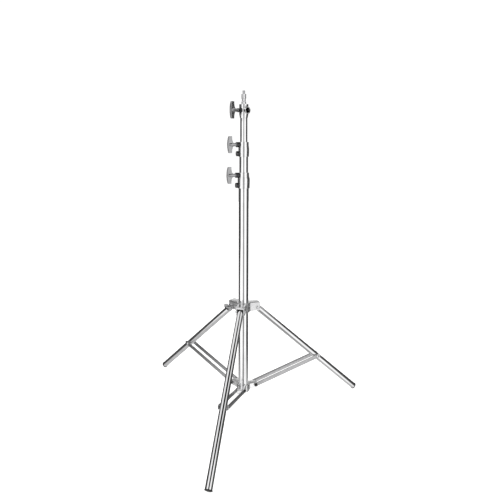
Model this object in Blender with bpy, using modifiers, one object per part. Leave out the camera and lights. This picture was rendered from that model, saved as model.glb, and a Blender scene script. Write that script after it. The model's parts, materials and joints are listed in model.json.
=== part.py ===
"""A steel light stand: three nested tubes on a folding tripod base, with a wing knob at each lock.

Metres, +Z up. The column stands a little to -X, so that the origin is the middle of the footprint
on the floor. One leg points to +X, and the collar knobs point to -X, between the other two legs.
"""
import math

import bmesh
import bpy
from mathutils import Matrix

# Tubes
LOWER_TUBE_DIAMETER = 0.035
RISER_2_DIAMETER = 0.030
RISER_3_DIAMETER = 0.025
TUBE_WALL = 0.0012
LEG_DIAMETER = 0.022
LEG_WALL = 0.0012

# Tripod base
LEG_LENGTH = 0.536
LEG_TILT = math.radians(48.2)
LEG_PIVOT_RADIUS = 0.048
LEG_TOP_PAST_PIVOT = 0.009
STRUT_DISTANCE = 0.316
STRUT_PIVOT_RADIUS = 0.0433
STRUT_PIVOT_HEIGHT = 0.081
BAR_WIDTH = 0.0144
BAR_THICKNESS = 0.0025
BAR_PAST_LEG = 0.006
LEG_ANGLES = {"right": 0.0, "left": math.radians(120), "front": math.radians(240)}

# Column, from the bottom up
LOWER_TUBE_BOTTOM = 0.062
COLLAR_1_BOTTOM = 0.788
COLLAR_1_HEIGHT = 0.054
COLLAR_1_TOP_WALL = 0.0032
RISER_2_SHOWN = 0.054
COLLAR_2_HEIGHT = 0.050
COLLAR_2_TOP_WALL = 0.0044
RISER_3_SHOWN = 0.080
RISER_2_LOWERING = 0.045
RISER_3_LOWERING = 0.056
COLLAR_GRIP = 0.028
STOP_GAP = 0.010

# Head and spigot
HEAD_HEIGHT = 0.047
HEAD_CONE_HEIGHT = 0.015
HEAD_RADIUS = 0.0158
HEAD_TURN = math.radians(24)
SPIGOT_DIAMETER = 0.0158
SPIGOT_SHOWN = 0.034
SPIGOT_IN_HEAD = 0.058
SPIGOT_WAIST_DEPTH = 0.0014
STUD_DIAMETER = 0.0094
STUD_LENGTH = 0.012
SIDE_SOCKET_DIAMETER = 0.0164
SIDE_SOCKET_HEIGHT = 0.026
SIDE_BOSS_RADIUS = 0.0118
SIDE_BOSS_REACH = 0.0212

# Castings
COLLAR_BELLY_WALL = 0.0034
COLLAR_FOOT_WALL = 0.0026
COLLAR_LIP = 0.012
COLLAR_SHOULDER = 0.020
KNOB_BELOW_TOP = 0.009
KNOB_BOSS_RADIUS = 0.0092
KNOB_BOSS_PROUD = 0.009
FIXING_ABOVE_BOTTOM = 0.0105
FIXING_BOSS_RADIUS = 0.0088
FIXING_BOSS_PROUD = 0.008
HUB_WALL = 0.0062
HUB_TOP_ABOVE_PIVOT = 0.019
HUB_BOTTOM_BELOW_PIVOT = 0.013
FORK_EAR_THICKNESS = 0.003
FORK_REACH = 0.009
FORK_EAR_BELOW_PIVOT = 0.011
HUB_KNOB_ABOVE_PIVOT = 0.007
HUB_BOSS_REACH = 0.036
LOWER_HUB_BELOW_PIVOT = 0.0195
LOWER_HUB_ABOVE_PIVOT = 0.0055
LOWER_HUB_WALL = 0.0052
LUG_HALF_WIDTH = 0.0122
LUG_REACH = 0.009
LUG_ABOVE_PIVOT = 0.006
LUG_BELOW_PIVOT = 0.012
HEAD_BOSS_RADIUS = 0.0068
HEAD_BOSS_REACH = 0.030
HEAD_TENON_WALL = 0.0026
CHAMFER = 0.0012

# Wing knobs
KNOB_SPAN = 0.057
KNOB_DEPTH = 0.0165
KNOB_THICKNESS = 0.0072
KNOB_LENGTH = 0.0305
KNOB_BARREL_RADIUS = 0.0056
KNOB_CROWN = 0.0045
KNOB_WEB = 0.0095
KNOB_EDGE = 0.0012
KNOB_SCREW_RADIUS = 0.003
KNOB_SCREW_IN_KNOB = 0.015

# Fasteners, plugs and pads
PIVOT_BOLT_RADIUS = 0.003
BOLT_HEAD_RADIUS = 0.0055
BOLT_HEAD_HEIGHT = 0.0034
RIVET_RADIUS = 0.0026
RIVET_HEAD_RADIUS = 0.0048
RIVET_HEAD_HEIGHT = 0.0026
FIXING_SCREW_RADIUS = 0.0038
FIXING_SCREW_RECESS = 0.0008
HEX_SOCKET_RADIUS = 0.0023
HEX_SOCKET_DEPTH = 0.0032
PAD_RADIUS = 0.0045
PAD_THICKNESS = 0.0024
CAP_RIM = 0.001
CAP_THICKNESS = 0.0025
COLUMN_CAP_THICKNESS = 0.0038
PLUG_LENGTH = 0.014
BUSH_FLANGE = 0.010

# Clearances between pieces
RUNNING_GAP = 0.0004
TOUCH_GAP = 0.0003
KNOB_GAP = 0.0006

# Facets
TUBE_SIDES = 32
LEG_SIDES = 24
SMALL_SIDES = 16
TINY_SIDES = 12
SMOOTH_BELOW = math.radians(32)

# Radii that follow from the diameters
LOWER_R = LOWER_TUBE_DIAMETER / 2
RISER_2_R = RISER_2_DIAMETER / 2
RISER_3_R = RISER_3_DIAMETER / 2
LEG_R = LEG_DIAMETER / 2
CAP_R = LEG_R + CAP_RIM
SPIGOT_R = SPIGOT_DIAMETER / 2
EAR_INNER = LEG_R + 2 * TOUCH_GAP
EAR_OUTER = EAR_INNER + FORK_EAR_THICKNESS
BAR_INNER = LUG_HALF_WIDTH + TOUCH_GAP
BAR_OUTER = BAR_INNER + BAR_THICKNESS


def foot_drop():
    """How far the lowest point of a foot cap lies below its leg's pivot."""
    by_edge = (LEG_LENGTH - CHAMFER) * math.cos(LEG_TILT) + CAP_R * math.sin(LEG_TILT)
    by_face = LEG_LENGTH * math.cos(LEG_TILT) + (CAP_R - CHAMFER) * math.sin(LEG_TILT)
    return max(by_edge, by_face)


def column_x():
    """Where the column stands, so that the feet are centred on the origin from front to back."""
    foot_radius = LEG_PIVOT_RADIUS + LEG_LENGTH * math.sin(LEG_TILT)
    right_reach = foot_radius + CAP_R * math.cos(LEG_TILT)
    half_sine = math.sin(LEG_TILT) / 2
    left_reach = foot_radius / 2 + CAP_R * math.sqrt(1 - half_sine ** 2)
    return (left_reach - right_reach) / 2


# Heights that follow from the sizes above
LEG_PIVOT_HEIGHT = foot_drop()
MID_RADIUS = LEG_PIVOT_RADIUS + STRUT_DISTANCE * math.sin(LEG_TILT)
MID_HEIGHT = LEG_PIVOT_HEIGHT - STRUT_DISTANCE * math.cos(LEG_TILT)
STRUT_LENGTH = math.hypot(MID_RADIUS - STRUT_PIVOT_RADIUS, MID_HEIGHT - STRUT_PIVOT_HEIGHT)
STRUT_TILT = math.atan2(MID_RADIUS - STRUT_PIVOT_RADIUS, MID_HEIGHT - STRUT_PIVOT_HEIGHT)
COLLAR_1_TOP = COLLAR_1_BOTTOM + COLLAR_1_HEIGHT
LOWER_TUBE_TOP = COLLAR_1_BOTTOM + COLLAR_GRIP
COLLAR_2_BOTTOM = COLLAR_1_TOP + RISER_2_SHOWN
COLLAR_2_TOP = COLLAR_2_BOTTOM + COLLAR_2_HEIGHT
RISER_2_TOP = COLLAR_2_BOTTOM + COLLAR_GRIP
HEAD_BOTTOM = COLLAR_2_TOP + RISER_3_SHOWN
HEAD_TOP = HEAD_BOTTOM + HEAD_HEIGHT
RISER_3_TOP = HEAD_BOTTOM - TOUCH_GAP
BUSH_2_BOTTOM = LOWER_TUBE_BOTTOM + PLUG_LENGTH + STOP_GAP + RISER_2_LOWERING
RISER_2_BOTTOM = BUSH_2_BOTTOM + BUSH_FLANGE + TOUCH_GAP
BUSH_3_BOTTOM = RISER_2_BOTTOM + PLUG_LENGTH + STOP_GAP + RISER_3_LOWERING
RISER_3_BOTTOM = BUSH_3_BOTTOM + BUSH_FLANGE + TOUCH_GAP

for leftover in list(bpy.data.objects):
    bpy.data.objects.remove(leftover, do_unlink=True)


def collection(name):
    group = bpy.data.collections.new(name)
    bpy.context.scene.collection.children.link(group)
    return group


PARTS = collection("light_stand")
CUTTERS = collection("light_stand_cutters")
CUTTERS.hide_render = True


def material(name, colour, roughness, metallic):
    """A plain finish: a Principled shader with one colour."""
    finish = bpy.data.materials.new(name)
    finish.use_nodes = True
    shader = finish.node_tree.nodes["Principled BSDF"]
    shader.inputs["Base Color"].default_value = (*colour, 1.0)
    shader.inputs["Roughness"].default_value = roughness
    shader.inputs["Metallic"].default_value = metallic
    finish.diffuse_color = (*colour, 1.0)
    return finish


FINISHES = {
    "polished_tube": ((0.80, 0.80, 0.81), 0.12, 1.0),
    "cast_metal": ((0.62, 0.62, 0.63), 0.42, 1.0),
    "strut_steel": ((0.55, 0.55, 0.56), 0.35, 1.0),
    "bright_screw": ((0.70, 0.70, 0.71), 0.25, 1.0),
    "dark_screw": ((0.08, 0.08, 0.085), 0.40, 1.0),
    "black_rubber": ((0.03, 0.03, 0.03), 0.75, 0.0),
    "black_nylon": ((0.04, 0.04, 0.045), 0.50, 0.0),
}


def empty(name, parent, location, rotation=(0, 0, 0)):
    """A guide that carries the pieces of one moving body, on its joint's axis."""
    guide = bpy.data.objects.new(name, None)
    PARTS.objects.link(guide)
    guide.empty_display_size = 0.02
    guide.parent = parent
    guide.location = location
    guide.rotation_euler = rotation
    return guide


def new_mesh_object(name, build, group):
    """An object whose mesh is filled by build(bm)."""
    mesh = bpy.data.meshes.new(name)
    bm = bmesh.new()
    build(bm)
    bm.to_mesh(mesh)
    bm.free()
    thing = bpy.data.objects.new(name, mesh)
    group.objects.link(thing)
    return thing


def turned(name, outline, sides, group=PARTS, closed=True):
    """A profile of (radius, height) points turned round Z; its outer side runs from top to bottom."""
    def build(bm):
        points = [bm.verts.new((radius, 0, height)) for radius, height in outline]
        for first, second in zip(points, points[1:]):
            bm.edges.new((first, second))
        if closed:
            bm.edges.new((points[-1], points[0]))
    thing = new_mesh_object(name, build, group)
    screw = thing.modifiers.new("turn", "SCREW")
    screw.axis = "Z"
    screw.steps = sides
    screw.render_steps = sides
    screw.use_merge_vertices = True
    screw.merge_threshold = 0.00001
    return thing


TURN_TO = {
    "X": Matrix.Rotation(math.radians(90), 4, "Y"),
    "Y": Matrix.Rotation(math.radians(-90), 4, "X"),
    "Z": Matrix.Identity(4),
}


def rod(name, radius, start, end, axis="Z", across=(0, 0), sides=SMALL_SIDES, end_radius=None, group=CUTTERS):
    """A round bar along one axis, from start to end; across is its place on the other two axes."""
    middle = (start + end) / 2
    centre = {"X": (middle, *across), "Y": (across[0], middle, across[1]), "Z": (*across, middle)}[axis]

    def build(bm):
        place = Matrix.Translation(centre) @ TURN_TO[axis]
        last = radius if end_radius is None else end_radius
        bmesh.ops.create_cone(bm, cap_ends=True, segments=sides, radius1=radius, radius2=last,
                              depth=end - start, matrix=place)
    return new_mesh_object(name, build, group)


def arc(centre, radius, start, end, steps):
    """Points on an arc in the XZ plane, from one angle to another, counted from +X towards +Z."""
    points = []
    for step in range(steps + 1):
        angle = math.radians(start + (end - start) * step / steps)
        points.append((centre[0] + radius * math.cos(angle), centre[1] + radius * math.sin(angle)))
    return points


def plate(name, outline, thickness, middle=0.0, group=CUTTERS):
    """A flat outline in the XZ plane, thickened along Y round the given middle."""
    curve = bpy.data.curves.new(name, "CURVE")
    curve.dimensions = "2D"
    curve.fill_mode = "BOTH"
    curve.extrude = thickness / 2
    line = curve.splines.new("POLY")
    line.points.add(len(outline) - 1)
    for point, (across, height) in zip(line.points, outline):
        point.co = (across, height, 0, 1)
    line.use_cyclic_u = True
    flat = bpy.data.objects.new(name + "_outline", curve)
    CUTTERS.objects.link(flat)
    flat.matrix_world = Matrix.Translation((0, middle, 0)) @ Matrix.Rotation(math.radians(90), 4, "X")
    bpy.context.view_layer.update()
    depsgraph = bpy.context.evaluated_depsgraph_get()
    mesh = bpy.data.meshes.new_from_object(flat.evaluated_get(depsgraph))
    mesh.transform(flat.matrix_world)
    bm = bmesh.new()
    bm.from_mesh(mesh)
    bmesh.ops.remove_doubles(bm, verts=bm.verts, dist=0.00001)
    bmesh.ops.dissolve_limit(bm, angle_limit=math.radians(1), verts=bm.verts, edges=bm.edges)
    bmesh.ops.recalc_face_normals(bm, faces=bm.faces)
    bm.to_mesh(mesh)
    bm.free()
    bpy.data.objects.remove(flat)
    mesh.name = name
    thing = bpy.data.objects.new(name, mesh)
    group.objects.link(thing)
    return thing


def combine(thing, other, operation):
    """A Boolean modifier with the other shape, which stays hidden in the cutters' collection."""
    other.hide_render = True
    other.display_type = "WIRE"
    other.parent = thing
    step = thing.modifiers.new(other.name, "BOOLEAN")
    step.operation = operation
    step.object = other


def add(thing, other):
    combine(thing, other, "UNION")


def cut(thing, other):
    combine(thing, other, "DIFFERENCE")


def settled_mesh(thing):
    """The mesh that the modifiers make, shaded smooth except across its sharp edges."""
    bpy.context.view_layer.update()
    depsgraph = bpy.context.evaluated_depsgraph_get()
    mesh = bpy.data.meshes.new_from_object(thing.evaluated_get(depsgraph))
    bm = bmesh.new()
    bm.from_mesh(mesh)
    bmesh.ops.remove_doubles(bm, verts=bm.verts, dist=0.000001)
    bm.to_mesh(mesh)
    bm.free()
    mesh.shade_smooth()
    mesh.set_sharp_from_angle(angle=SMOOTH_BELOW)
    return mesh


def finish(thing, finish_name, parent=None, location=(0, 0, 0), rotation=(0, 0, 0)):
    """Settle a piece's shape, give it its own material and put it in its place."""
    mesh = settled_mesh(thing)
    mesh.name = thing.name
    thing.modifiers.clear()
    thing.data = mesh
    mesh.materials.clear()
    colour, roughness, metallic = FINISHES[finish_name]
    mesh.materials.append(material(thing.name, colour, roughness, metallic))
    thing.parent = parent
    thing.location = location
    thing.rotation_euler = rotation
    return thing


def pipe_outline(inner, outer, bottom, top):
    """The wall of a tube."""
    return [(outer, top), (outer, bottom), (inner, bottom), (inner, top)]


def plug_outline(plug_radius, flange_radius, plug_length, flange_height):
    """A plug that fills a tube's end above its flange: the flange's top face is at height 0."""
    return [(0, plug_length), (plug_radius - CHAMFER, plug_length), (plug_radius, plug_length - CHAMFER),
            (plug_radius, 0), (flange_radius, 0), (flange_radius, CHAMFER - flange_height),
            (flange_radius - CHAMFER, -flange_height), (0, -flange_height)]


def make_tube(name, radius, wall, bottom, top, sides, parent):
    tube = turned(name, pipe_outline(radius - wall, radius, bottom, top), sides)
    return finish(tube, "polished_tube", parent)


def make_collar(name, tube_radius, riser_radius, height, top_wall, parent, bottom):
    """A lock collar on a tube's top end, with a knob boss high up and a fixing boss low down, at -X."""
    top_radius = riser_radius + top_wall
    belly = tube_radius + COLLAR_BELLY_WALL
    foot = tube_radius + COLLAR_FOOT_WALL
    tube_bore = tube_radius + TOUCH_GAP
    riser_bore = riser_radius + RUNNING_GAP
    outline = [(top_radius - CHAMFER, height), (top_radius, height - CHAMFER),
               (top_radius + CHAMFER / 3, height - COLLAR_LIP),
               (belly - CHAMFER / 2, height - COLLAR_SHOULDER),
               (belly, height / 2 - CHAMFER), (belly - CHAMFER / 4, height / 4),
               (foot, CHAMFER), (foot - CHAMFER, 0), (tube_bore, 0),
               (tube_bore, COLLAR_GRIP + TOUCH_GAP), (riser_bore, COLLAR_GRIP + TOUCH_GAP),
               (riser_bore, height)]
    collar = turned(name, outline, TUBE_SIDES)
    knob_height = height - KNOB_BELOW_TOP
    knob_face = belly + KNOB_BOSS_PROUD
    fixing_face = belly + FIXING_BOSS_PROUD
    knob_start = riser_bore + PAD_THICKNESS / 2
    fixing_start = tube_bore + COLLAR_FOOT_WALL / 2
    add(collar, rod(name + "_knob_boss", KNOB_BOSS_RADIUS, -knob_face, -knob_start, "X", (0, knob_height), 24))
    add(collar, rod(name + "_fixing_boss", FIXING_BOSS_RADIUS - CHAMFER, -fixing_face, -fixing_start, "X",
                    (0, FIXING_ABOVE_BOTTOM), 24, end_radius=FIXING_BOSS_RADIUS))
    cut(collar, rod(name + "_knob_hole", KNOB_SCREW_RADIUS + TOUCH_GAP, -2 * knob_face, -riser_radius / 2, "X",
                    (0, knob_height), SMALL_SIDES))
    cut(collar, rod(name + "_pad_pocket", PAD_RADIUS + TOUCH_GAP, -pad_outer(riser_radius), -riser_radius / 2,
                    "X", (0, knob_height), SMALL_SIDES))
    cut(collar, rod(name + "_fixing_hole", FIXING_SCREW_RADIUS + TOUCH_GAP, -2 * fixing_face,
                    -tube_radius / 2, "X", (0, FIXING_ABOVE_BOTTOM), SMALL_SIDES))
    finish(collar, "cast_metal", parent, (0, 0, bottom))
    make_pad(name + "_pad", riser_radius, parent, bottom + knob_height)
    make_fixing_screw(name + "_fixing_screw", tube_radius + TOUCH_GAP, fixing_face - FIXING_SCREW_RECESS,
                      parent, bottom + FIXING_ABOVE_BOTTOM)
    return bottom + knob_height, knob_face


def pad_outer(riser_radius):
    """How far out a pad's pocket reaches from the column's middle."""
    return riser_radius + 2 * TOUCH_GAP + PAD_THICKNESS + TOUCH_GAP


def make_pad(name, riser_radius, parent, height, turn=0.0):
    """The small shoe between a knob's screw and the riser that it grips."""
    inner = riser_radius + 2 * TOUCH_GAP
    pad = rod(name, PAD_RADIUS, -inner - PAD_THICKNESS, -inner, "X", (0, 0), SMALL_SIDES, group=PARTS)
    finish(pad, "black_nylon", parent, (0, 0, height), (0, 0, turn))


def make_fixing_screw(name, inner, outer, parent, height):
    """A socket screw that holds a collar on its tube."""
    screw = rod(name, FIXING_SCREW_RADIUS, -outer, -inner - TOUCH_GAP, "X", (0, 0), SMALL_SIDES, group=PARTS)
    cut(screw, rod(name + "_socket", HEX_SOCKET_RADIUS, -outer - HEX_SOCKET_DEPTH, HEX_SOCKET_DEPTH - outer, "X",
                   (0, 0), 6))
    finish(screw, "dark_screw", parent, (0, 0, height))


def wing_outline():
    """The wing's edge: a crowned outer side, square tips, and an inner side that runs into the barrel."""
    half = KNOB_SPAN / 2
    steps = 8
    outer = []
    inner = []
    for step in range(steps + 1):
        across = half * (1 - 2 * step / steps)
        share = abs(across) / half
        outer.append((across, KNOB_LENGTH - KNOB_CROWN * share ** 2))
        inner.append((-across, KNOB_LENGTH - KNOB_DEPTH - KNOB_WEB * (1 - share) ** 3))
    return outer + inner


def make_knob(name, screw_name, guide, reach):
    """A wing knob on a guide whose +Z points away from the column; its face is at height 0."""
    knob = plate(name, wing_outline(), KNOB_THICKNESS, group=PARTS)
    bevel = knob.modifiers.new("edges", "BEVEL")
    bevel.width = KNOB_EDGE
    bevel.segments = 1
    bevel.limit_method = "ANGLE"
    bevel.angle_limit = math.radians(40)
    barrel_top = KNOB_LENGTH - KNOB_CROWN
    barrel = turned(name + "_barrel",
                    [(0, barrel_top), (KNOB_BARREL_RADIUS, barrel_top),
                     (KNOB_BARREL_RADIUS + CHAMFER, KNOB_LENGTH - KNOB_DEPTH),
                     (KNOB_BARREL_RADIUS, KNOB_LENGTH - KNOB_DEPTH - KNOB_WEB),
                     (KNOB_BARREL_RADIUS, CHAMFER / 2), (KNOB_BARREL_RADIUS - CHAMFER / 2, 0), (0, 0)],
                    20, CUTTERS, closed=False)
    add(knob, barrel)
    cut(knob, rod(name + "_screw_hole", KNOB_SCREW_RADIUS + TOUCH_GAP, -KNOB_SCREW_IN_KNOB,
                  KNOB_SCREW_IN_KNOB, "Z", (0, 0), TINY_SIDES))
    finish(knob, "cast_metal", guide)
    screw = rod(screw_name, KNOB_SCREW_RADIUS, -reach, KNOB_SCREW_IN_KNOB - TOUCH_GAP, "Z", (0, 0), TINY_SIDES,
                group=PARTS)
    finish(screw, "bright_screw", guide)


def knob_guide(name, parent, azimuth, height, face, roll=0.0):
    """An empty on a knob's axis, at the boss's face, with +Z pointing outwards."""
    place = (face * math.cos(azimuth), face * math.sin(azimuth), height)
    turn = Matrix.Rotation(azimuth, 3, "Z") @ Matrix.Rotation(math.radians(90), 3, "Y")
    turn = turn @ Matrix.Rotation(roll, 3, "Z")
    return empty(name, parent, place, turn.to_euler())


def make_column(column):
    """The bottom tube with its lower hub, end cap and first collar."""
    make_tube("lower_tube", LOWER_R, TUBE_WALL, LOWER_TUBE_BOTTOM, LOWER_TUBE_TOP, TUBE_SIDES, column)
    plug_radius = LOWER_R - TUBE_WALL - RUNNING_GAP
    cap = turned("column_end_cap",
                 plug_outline(plug_radius, LOWER_R - TOUCH_GAP, PLUG_LENGTH, COLUMN_CAP_THICKNESS),
                 LEG_SIDES, closed=False)
    finish(cap, "black_rubber", column, (0, 0, LOWER_TUBE_BOTTOM - TOUCH_GAP))
    make_lower_hub(column)
    knob_height, knob_face = make_collar("collar_1", LOWER_R, RISER_2_R, COLLAR_1_HEIGHT, COLLAR_1_TOP_WALL,
                                         column, COLLAR_1_BOTTOM)
    guide = knob_guide("collar_1_knob_axis", column, math.pi, knob_height, knob_face + KNOB_GAP)
    make_knob("collar_1_knob", "collar_1_knob_screw", guide,
              knob_face + KNOB_GAP - pad_outer(RISER_2_R) + TOUCH_GAP / 2)


def make_lower_hub(column):
    """The ring at the column's foot, with a lug and a bolt for each pair of strut bars."""
    outer = LOWER_R + LOWER_HUB_WALL
    bore = LOWER_R + TOUCH_GAP
    top = LOWER_HUB_ABOVE_PIVOT
    bottom = -LOWER_HUB_BELOW_PIVOT
    hub = turned("lower_hub",
                 [(outer - CHAMFER, top), (outer, top - CHAMFER), (outer, bottom + CHAMFER),
                  (outer - CHAMFER, bottom), (bore, bottom), (bore, top)], TUBE_SIDES)
    lug_start = bore + LOWER_HUB_WALL / 2
    lug_end = STRUT_PIVOT_RADIUS + LUG_REACH
    for side, azimuth in LEG_ANGLES.items():
        outline = [(lug_start, LUG_ABOVE_PIVOT), (lug_start, -LUG_BELOW_PIVOT)]
        outline += arc((STRUT_PIVOT_RADIUS, LUG_REACH - LUG_BELOW_PIVOT), LUG_REACH, -90, 0, 6)
        outline += arc((lug_end - LUG_ABOVE_PIVOT, 0), LUG_ABOVE_PIVOT, 0, 90, 6)
        lug = plate("lower_lug_" + side, outline, 2 * LUG_HALF_WIDTH)
        hole = rod("lower_hole_" + side, PIVOT_BOLT_RADIUS + TOUCH_GAP, -2 * LUG_HALF_WIDTH,
                   2 * LUG_HALF_WIDTH, "Y", (STRUT_PIVOT_RADIUS, 0), TINY_SIDES)
        for shape in (lug, hole):
            shape.rotation_euler = (0, 0, azimuth)
        add(hub, lug)
        cut(hub, hole)
    finish(hub, "cast_metal", column, (0, 0, STRUT_PIVOT_HEIGHT))
    for side, azimuth in LEG_ANGLES.items():
        make_bolt("strut_pivot_bolt_" + side, "dark_screw", BAR_OUTER, column, STRUT_PIVOT_RADIUS,
                  STRUT_PIVOT_HEIGHT, azimuth)


def make_bolt(name, finish_name, half_width, parent, radius, height, azimuth):
    """A pivot bolt with a domed head at one end and a nut at the other, lying across its leg's plane."""
    grip = half_width + TOUCH_GAP
    outer = grip + BOLT_HEAD_HEIGHT
    bolt = turned(name,
                  [(0, outer), (BOLT_HEAD_RADIUS - CHAMFER, outer), (BOLT_HEAD_RADIUS, outer - CHAMFER),
                   (BOLT_HEAD_RADIUS, grip), (PIVOT_BOLT_RADIUS, grip), (PIVOT_BOLT_RADIUS, -grip),
                   (BOLT_HEAD_RADIUS, -grip), (BOLT_HEAD_RADIUS, -outer), (0, -outer)],
                  TINY_SIDES, closed=False)
    turn = Matrix.Rotation(azimuth, 3, "Z") @ Matrix.Rotation(math.radians(90), 3, "X")
    finish(bolt, finish_name, parent,
           (radius * math.cos(azimuth), radius * math.sin(azimuth), height), turn.to_euler())


def make_leg_hub(hub_guide):
    """The sliding casting: a ring with three forks, heights measured from the leg pivots.

    A fork's slot is round on top, a little wider than the circle that the leg's end swings through.
    """
    outer = LOWER_R + HUB_WALL
    bore = LOWER_R + RUNNING_GAP
    top = HUB_TOP_ABOVE_PIVOT
    bottom = -HUB_BOTTOM_BELOW_PIVOT
    hub = turned("leg_hub",
                 [(outer - CHAMFER, top + CHAMFER), (outer, top), (outer, bottom + CHAMFER),
                  (outer - CHAMFER, bottom), (bore, bottom), (bore, top + CHAMFER)], TUBE_SIDES)
    fork_start = bore + HUB_WALL / 2
    fork_end = LEG_PIVOT_RADIUS + FORK_REACH
    swing = math.hypot(LEG_R, LEG_TOP_PAST_PIVOT) + 2 * TOUCH_GAP
    slot_foot = -2 * HUB_BOTTOM_BELOW_PIVOT
    ear_outline = [(fork_start, top), (fork_start, -FORK_EAR_BELOW_PIVOT)]
    ear_outline += arc((LEG_PIVOT_RADIUS, 0), FORK_REACH, -90, 0, 6)
    ear_outline += [(fork_end, top - CHAMFER), (fork_end - CHAMFER, top)]
    slot_outline = [(LEG_PIVOT_RADIUS - swing, slot_foot), (LEG_PIVOT_RADIUS + swing, slot_foot)]
    slot_outline += arc((LEG_PIVOT_RADIUS, 0), swing, 0, 180, 20)
    for side, azimuth in LEG_ANGLES.items():
        fork = plate("fork_" + side, ear_outline, 2 * EAR_OUTER)
        slot = plate("fork_slot_" + side, slot_outline, 2 * EAR_INNER)
        hole = rod("fork_hole_" + side, PIVOT_BOLT_RADIUS + TOUCH_GAP, -2 * EAR_OUTER, 2 * EAR_OUTER, "Y",
                   (LEG_PIVOT_RADIUS, 0), TINY_SIDES)
        for shape in (fork, slot, hole):
            shape.rotation_euler = (0, 0, azimuth)
        add(hub, fork)
        cut(hub, slot)
        cut(hub, hole)
    knob_height = HUB_KNOB_ABOVE_PIVOT
    add(hub, rod("hub_knob_boss", KNOB_BOSS_RADIUS, -HUB_BOSS_REACH, -fork_start, "X", (0, knob_height), 24))
    cut(hub, rod("hub_knob_hole", KNOB_SCREW_RADIUS + TOUCH_GAP, -2 * HUB_BOSS_REACH, -LOWER_R / 2, "X",
                 (0, knob_height), SMALL_SIDES))
    cut(hub, rod("hub_pad_pocket", PAD_RADIUS + TOUCH_GAP, -pad_outer(LOWER_R), -LOWER_R / 2, "X",
                 (0, knob_height), SMALL_SIDES))
    finish(hub, "cast_metal", hub_guide)
    make_pad("hub_pad", LOWER_R, hub_guide, knob_height)
    for side, azimuth in LEG_ANGLES.items():
        make_bolt("leg_pivot_bolt_" + side, "bright_screw", EAR_OUTER, hub_guide, LEG_PIVOT_RADIUS, 0, azimuth)
    guide = knob_guide("hub_knob_axis", hub_guide, math.pi, knob_height, HUB_BOSS_REACH + KNOB_GAP,
                       math.radians(90))
    make_knob("hub_knob", "hub_knob_screw", guide,
              HUB_BOSS_REACH + KNOB_GAP - pad_outer(LOWER_R) + TOUCH_GAP / 2)


def make_leg(side, azimuth, hub_guide):
    """A leg on its pivot: local -Z runs down the leg, and local Y lies along the pivot bolt."""
    place = (LEG_PIVOT_RADIUS * math.cos(azimuth), LEG_PIVOT_RADIUS * math.sin(azimuth), 0)
    turn = Matrix.Rotation(azimuth, 3, "Z") @ Matrix.Rotation(-LEG_TILT, 3, "Y")
    guide = empty("leg_" + side + "_axis", hub_guide, place, turn.to_euler())
    tube_end = CAP_THICKNESS - LEG_LENGTH + TOUCH_GAP
    tube = turned("leg_tube_" + side, pipe_outline(LEG_R - LEG_WALL, LEG_R, tube_end, LEG_TOP_PAST_PIVOT),
                  LEG_SIDES)
    cut(tube, rod("leg_hole_" + side, PIVOT_BOLT_RADIUS + TOUCH_GAP, -2 * LEG_R, 2 * LEG_R, "Y", (0, 0),
                  TINY_SIDES))
    finish(tube, "polished_tube", guide)
    cap = turned("foot_cap_" + side,
                 plug_outline(LEG_R - LEG_WALL - TOUCH_GAP, CAP_R, PLUG_LENGTH, CAP_THICKNESS), LEG_SIDES,
                 closed=False)
    finish(cap, "black_rubber", guide, (0, 0, CAP_THICKNESS - LEG_LENGTH))


def make_strut(side, azimuth, column):
    """Two flat bars that straddle the leg and the lower lug: local Z runs up along the bars."""
    place = (STRUT_PIVOT_RADIUS * math.cos(azimuth), STRUT_PIVOT_RADIUS * math.sin(azimuth),
             STRUT_PIVOT_HEIGHT)
    turn = Matrix.Rotation(azimuth, 3, "Z") @ Matrix.Rotation(STRUT_TILT, 3, "Y")
    guide = empty("strut_" + side + "_axis", column, place, turn.to_euler())
    half = BAR_WIDTH / 2
    middle = (BAR_INNER + BAR_OUTER) / 2
    bar_outline = arc((0, 0), half, 180, 360, 8) + arc((0, STRUT_LENGTH + BAR_PAST_LEG), half, 0, 180, 8)
    for letter, sign in (("a", -1), ("b", 1)):
        name = "strut_bar_" + side + "_" + letter
        bar = plate(name, bar_outline, BAR_THICKNESS, sign * middle, PARTS)
        cut(bar, rod(name + "_foot_hole", PIVOT_BOLT_RADIUS + TOUCH_GAP, -2 * BAR_OUTER, 2 * BAR_OUTER, "Y",
                     (0, 0), TINY_SIDES))
        cut(bar, rod(name + "_tip_hole", RIVET_RADIUS + TOUCH_GAP, -2 * BAR_OUTER, 2 * BAR_OUTER, "Y",
                     (0, STRUT_LENGTH), TINY_SIDES))
        finish(bar, "strut_steel", guide)
        make_rivet("strut_rivet_" + side + "_" + letter, sign, guide)


def make_rivet(name, sign, guide):
    """The rivet that holds a bar beside its leg, with a spacer collar on the leg's side."""
    spacer = LEG_R + TOUCH_GAP
    inner_face = BAR_INNER - TOUCH_GAP
    outer_face = BAR_OUTER + TOUCH_GAP
    head = outer_face + RIVET_HEAD_HEIGHT
    rivet = turned(name,
                   [(0, head), (RIVET_HEAD_RADIUS - CHAMFER, head), (RIVET_HEAD_RADIUS, head - CHAMFER),
                    (RIVET_HEAD_RADIUS, outer_face), (RIVET_RADIUS, outer_face), (RIVET_RADIUS, inner_face),
                    (RIVET_HEAD_RADIUS, inner_face), (RIVET_HEAD_RADIUS, spacer), (0, spacer)],
                   TINY_SIDES, closed=False)
    finish(rivet, "bright_screw", guide, (0, 0, STRUT_LENGTH), (math.radians(-90 * sign), 0, 0))


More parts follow.
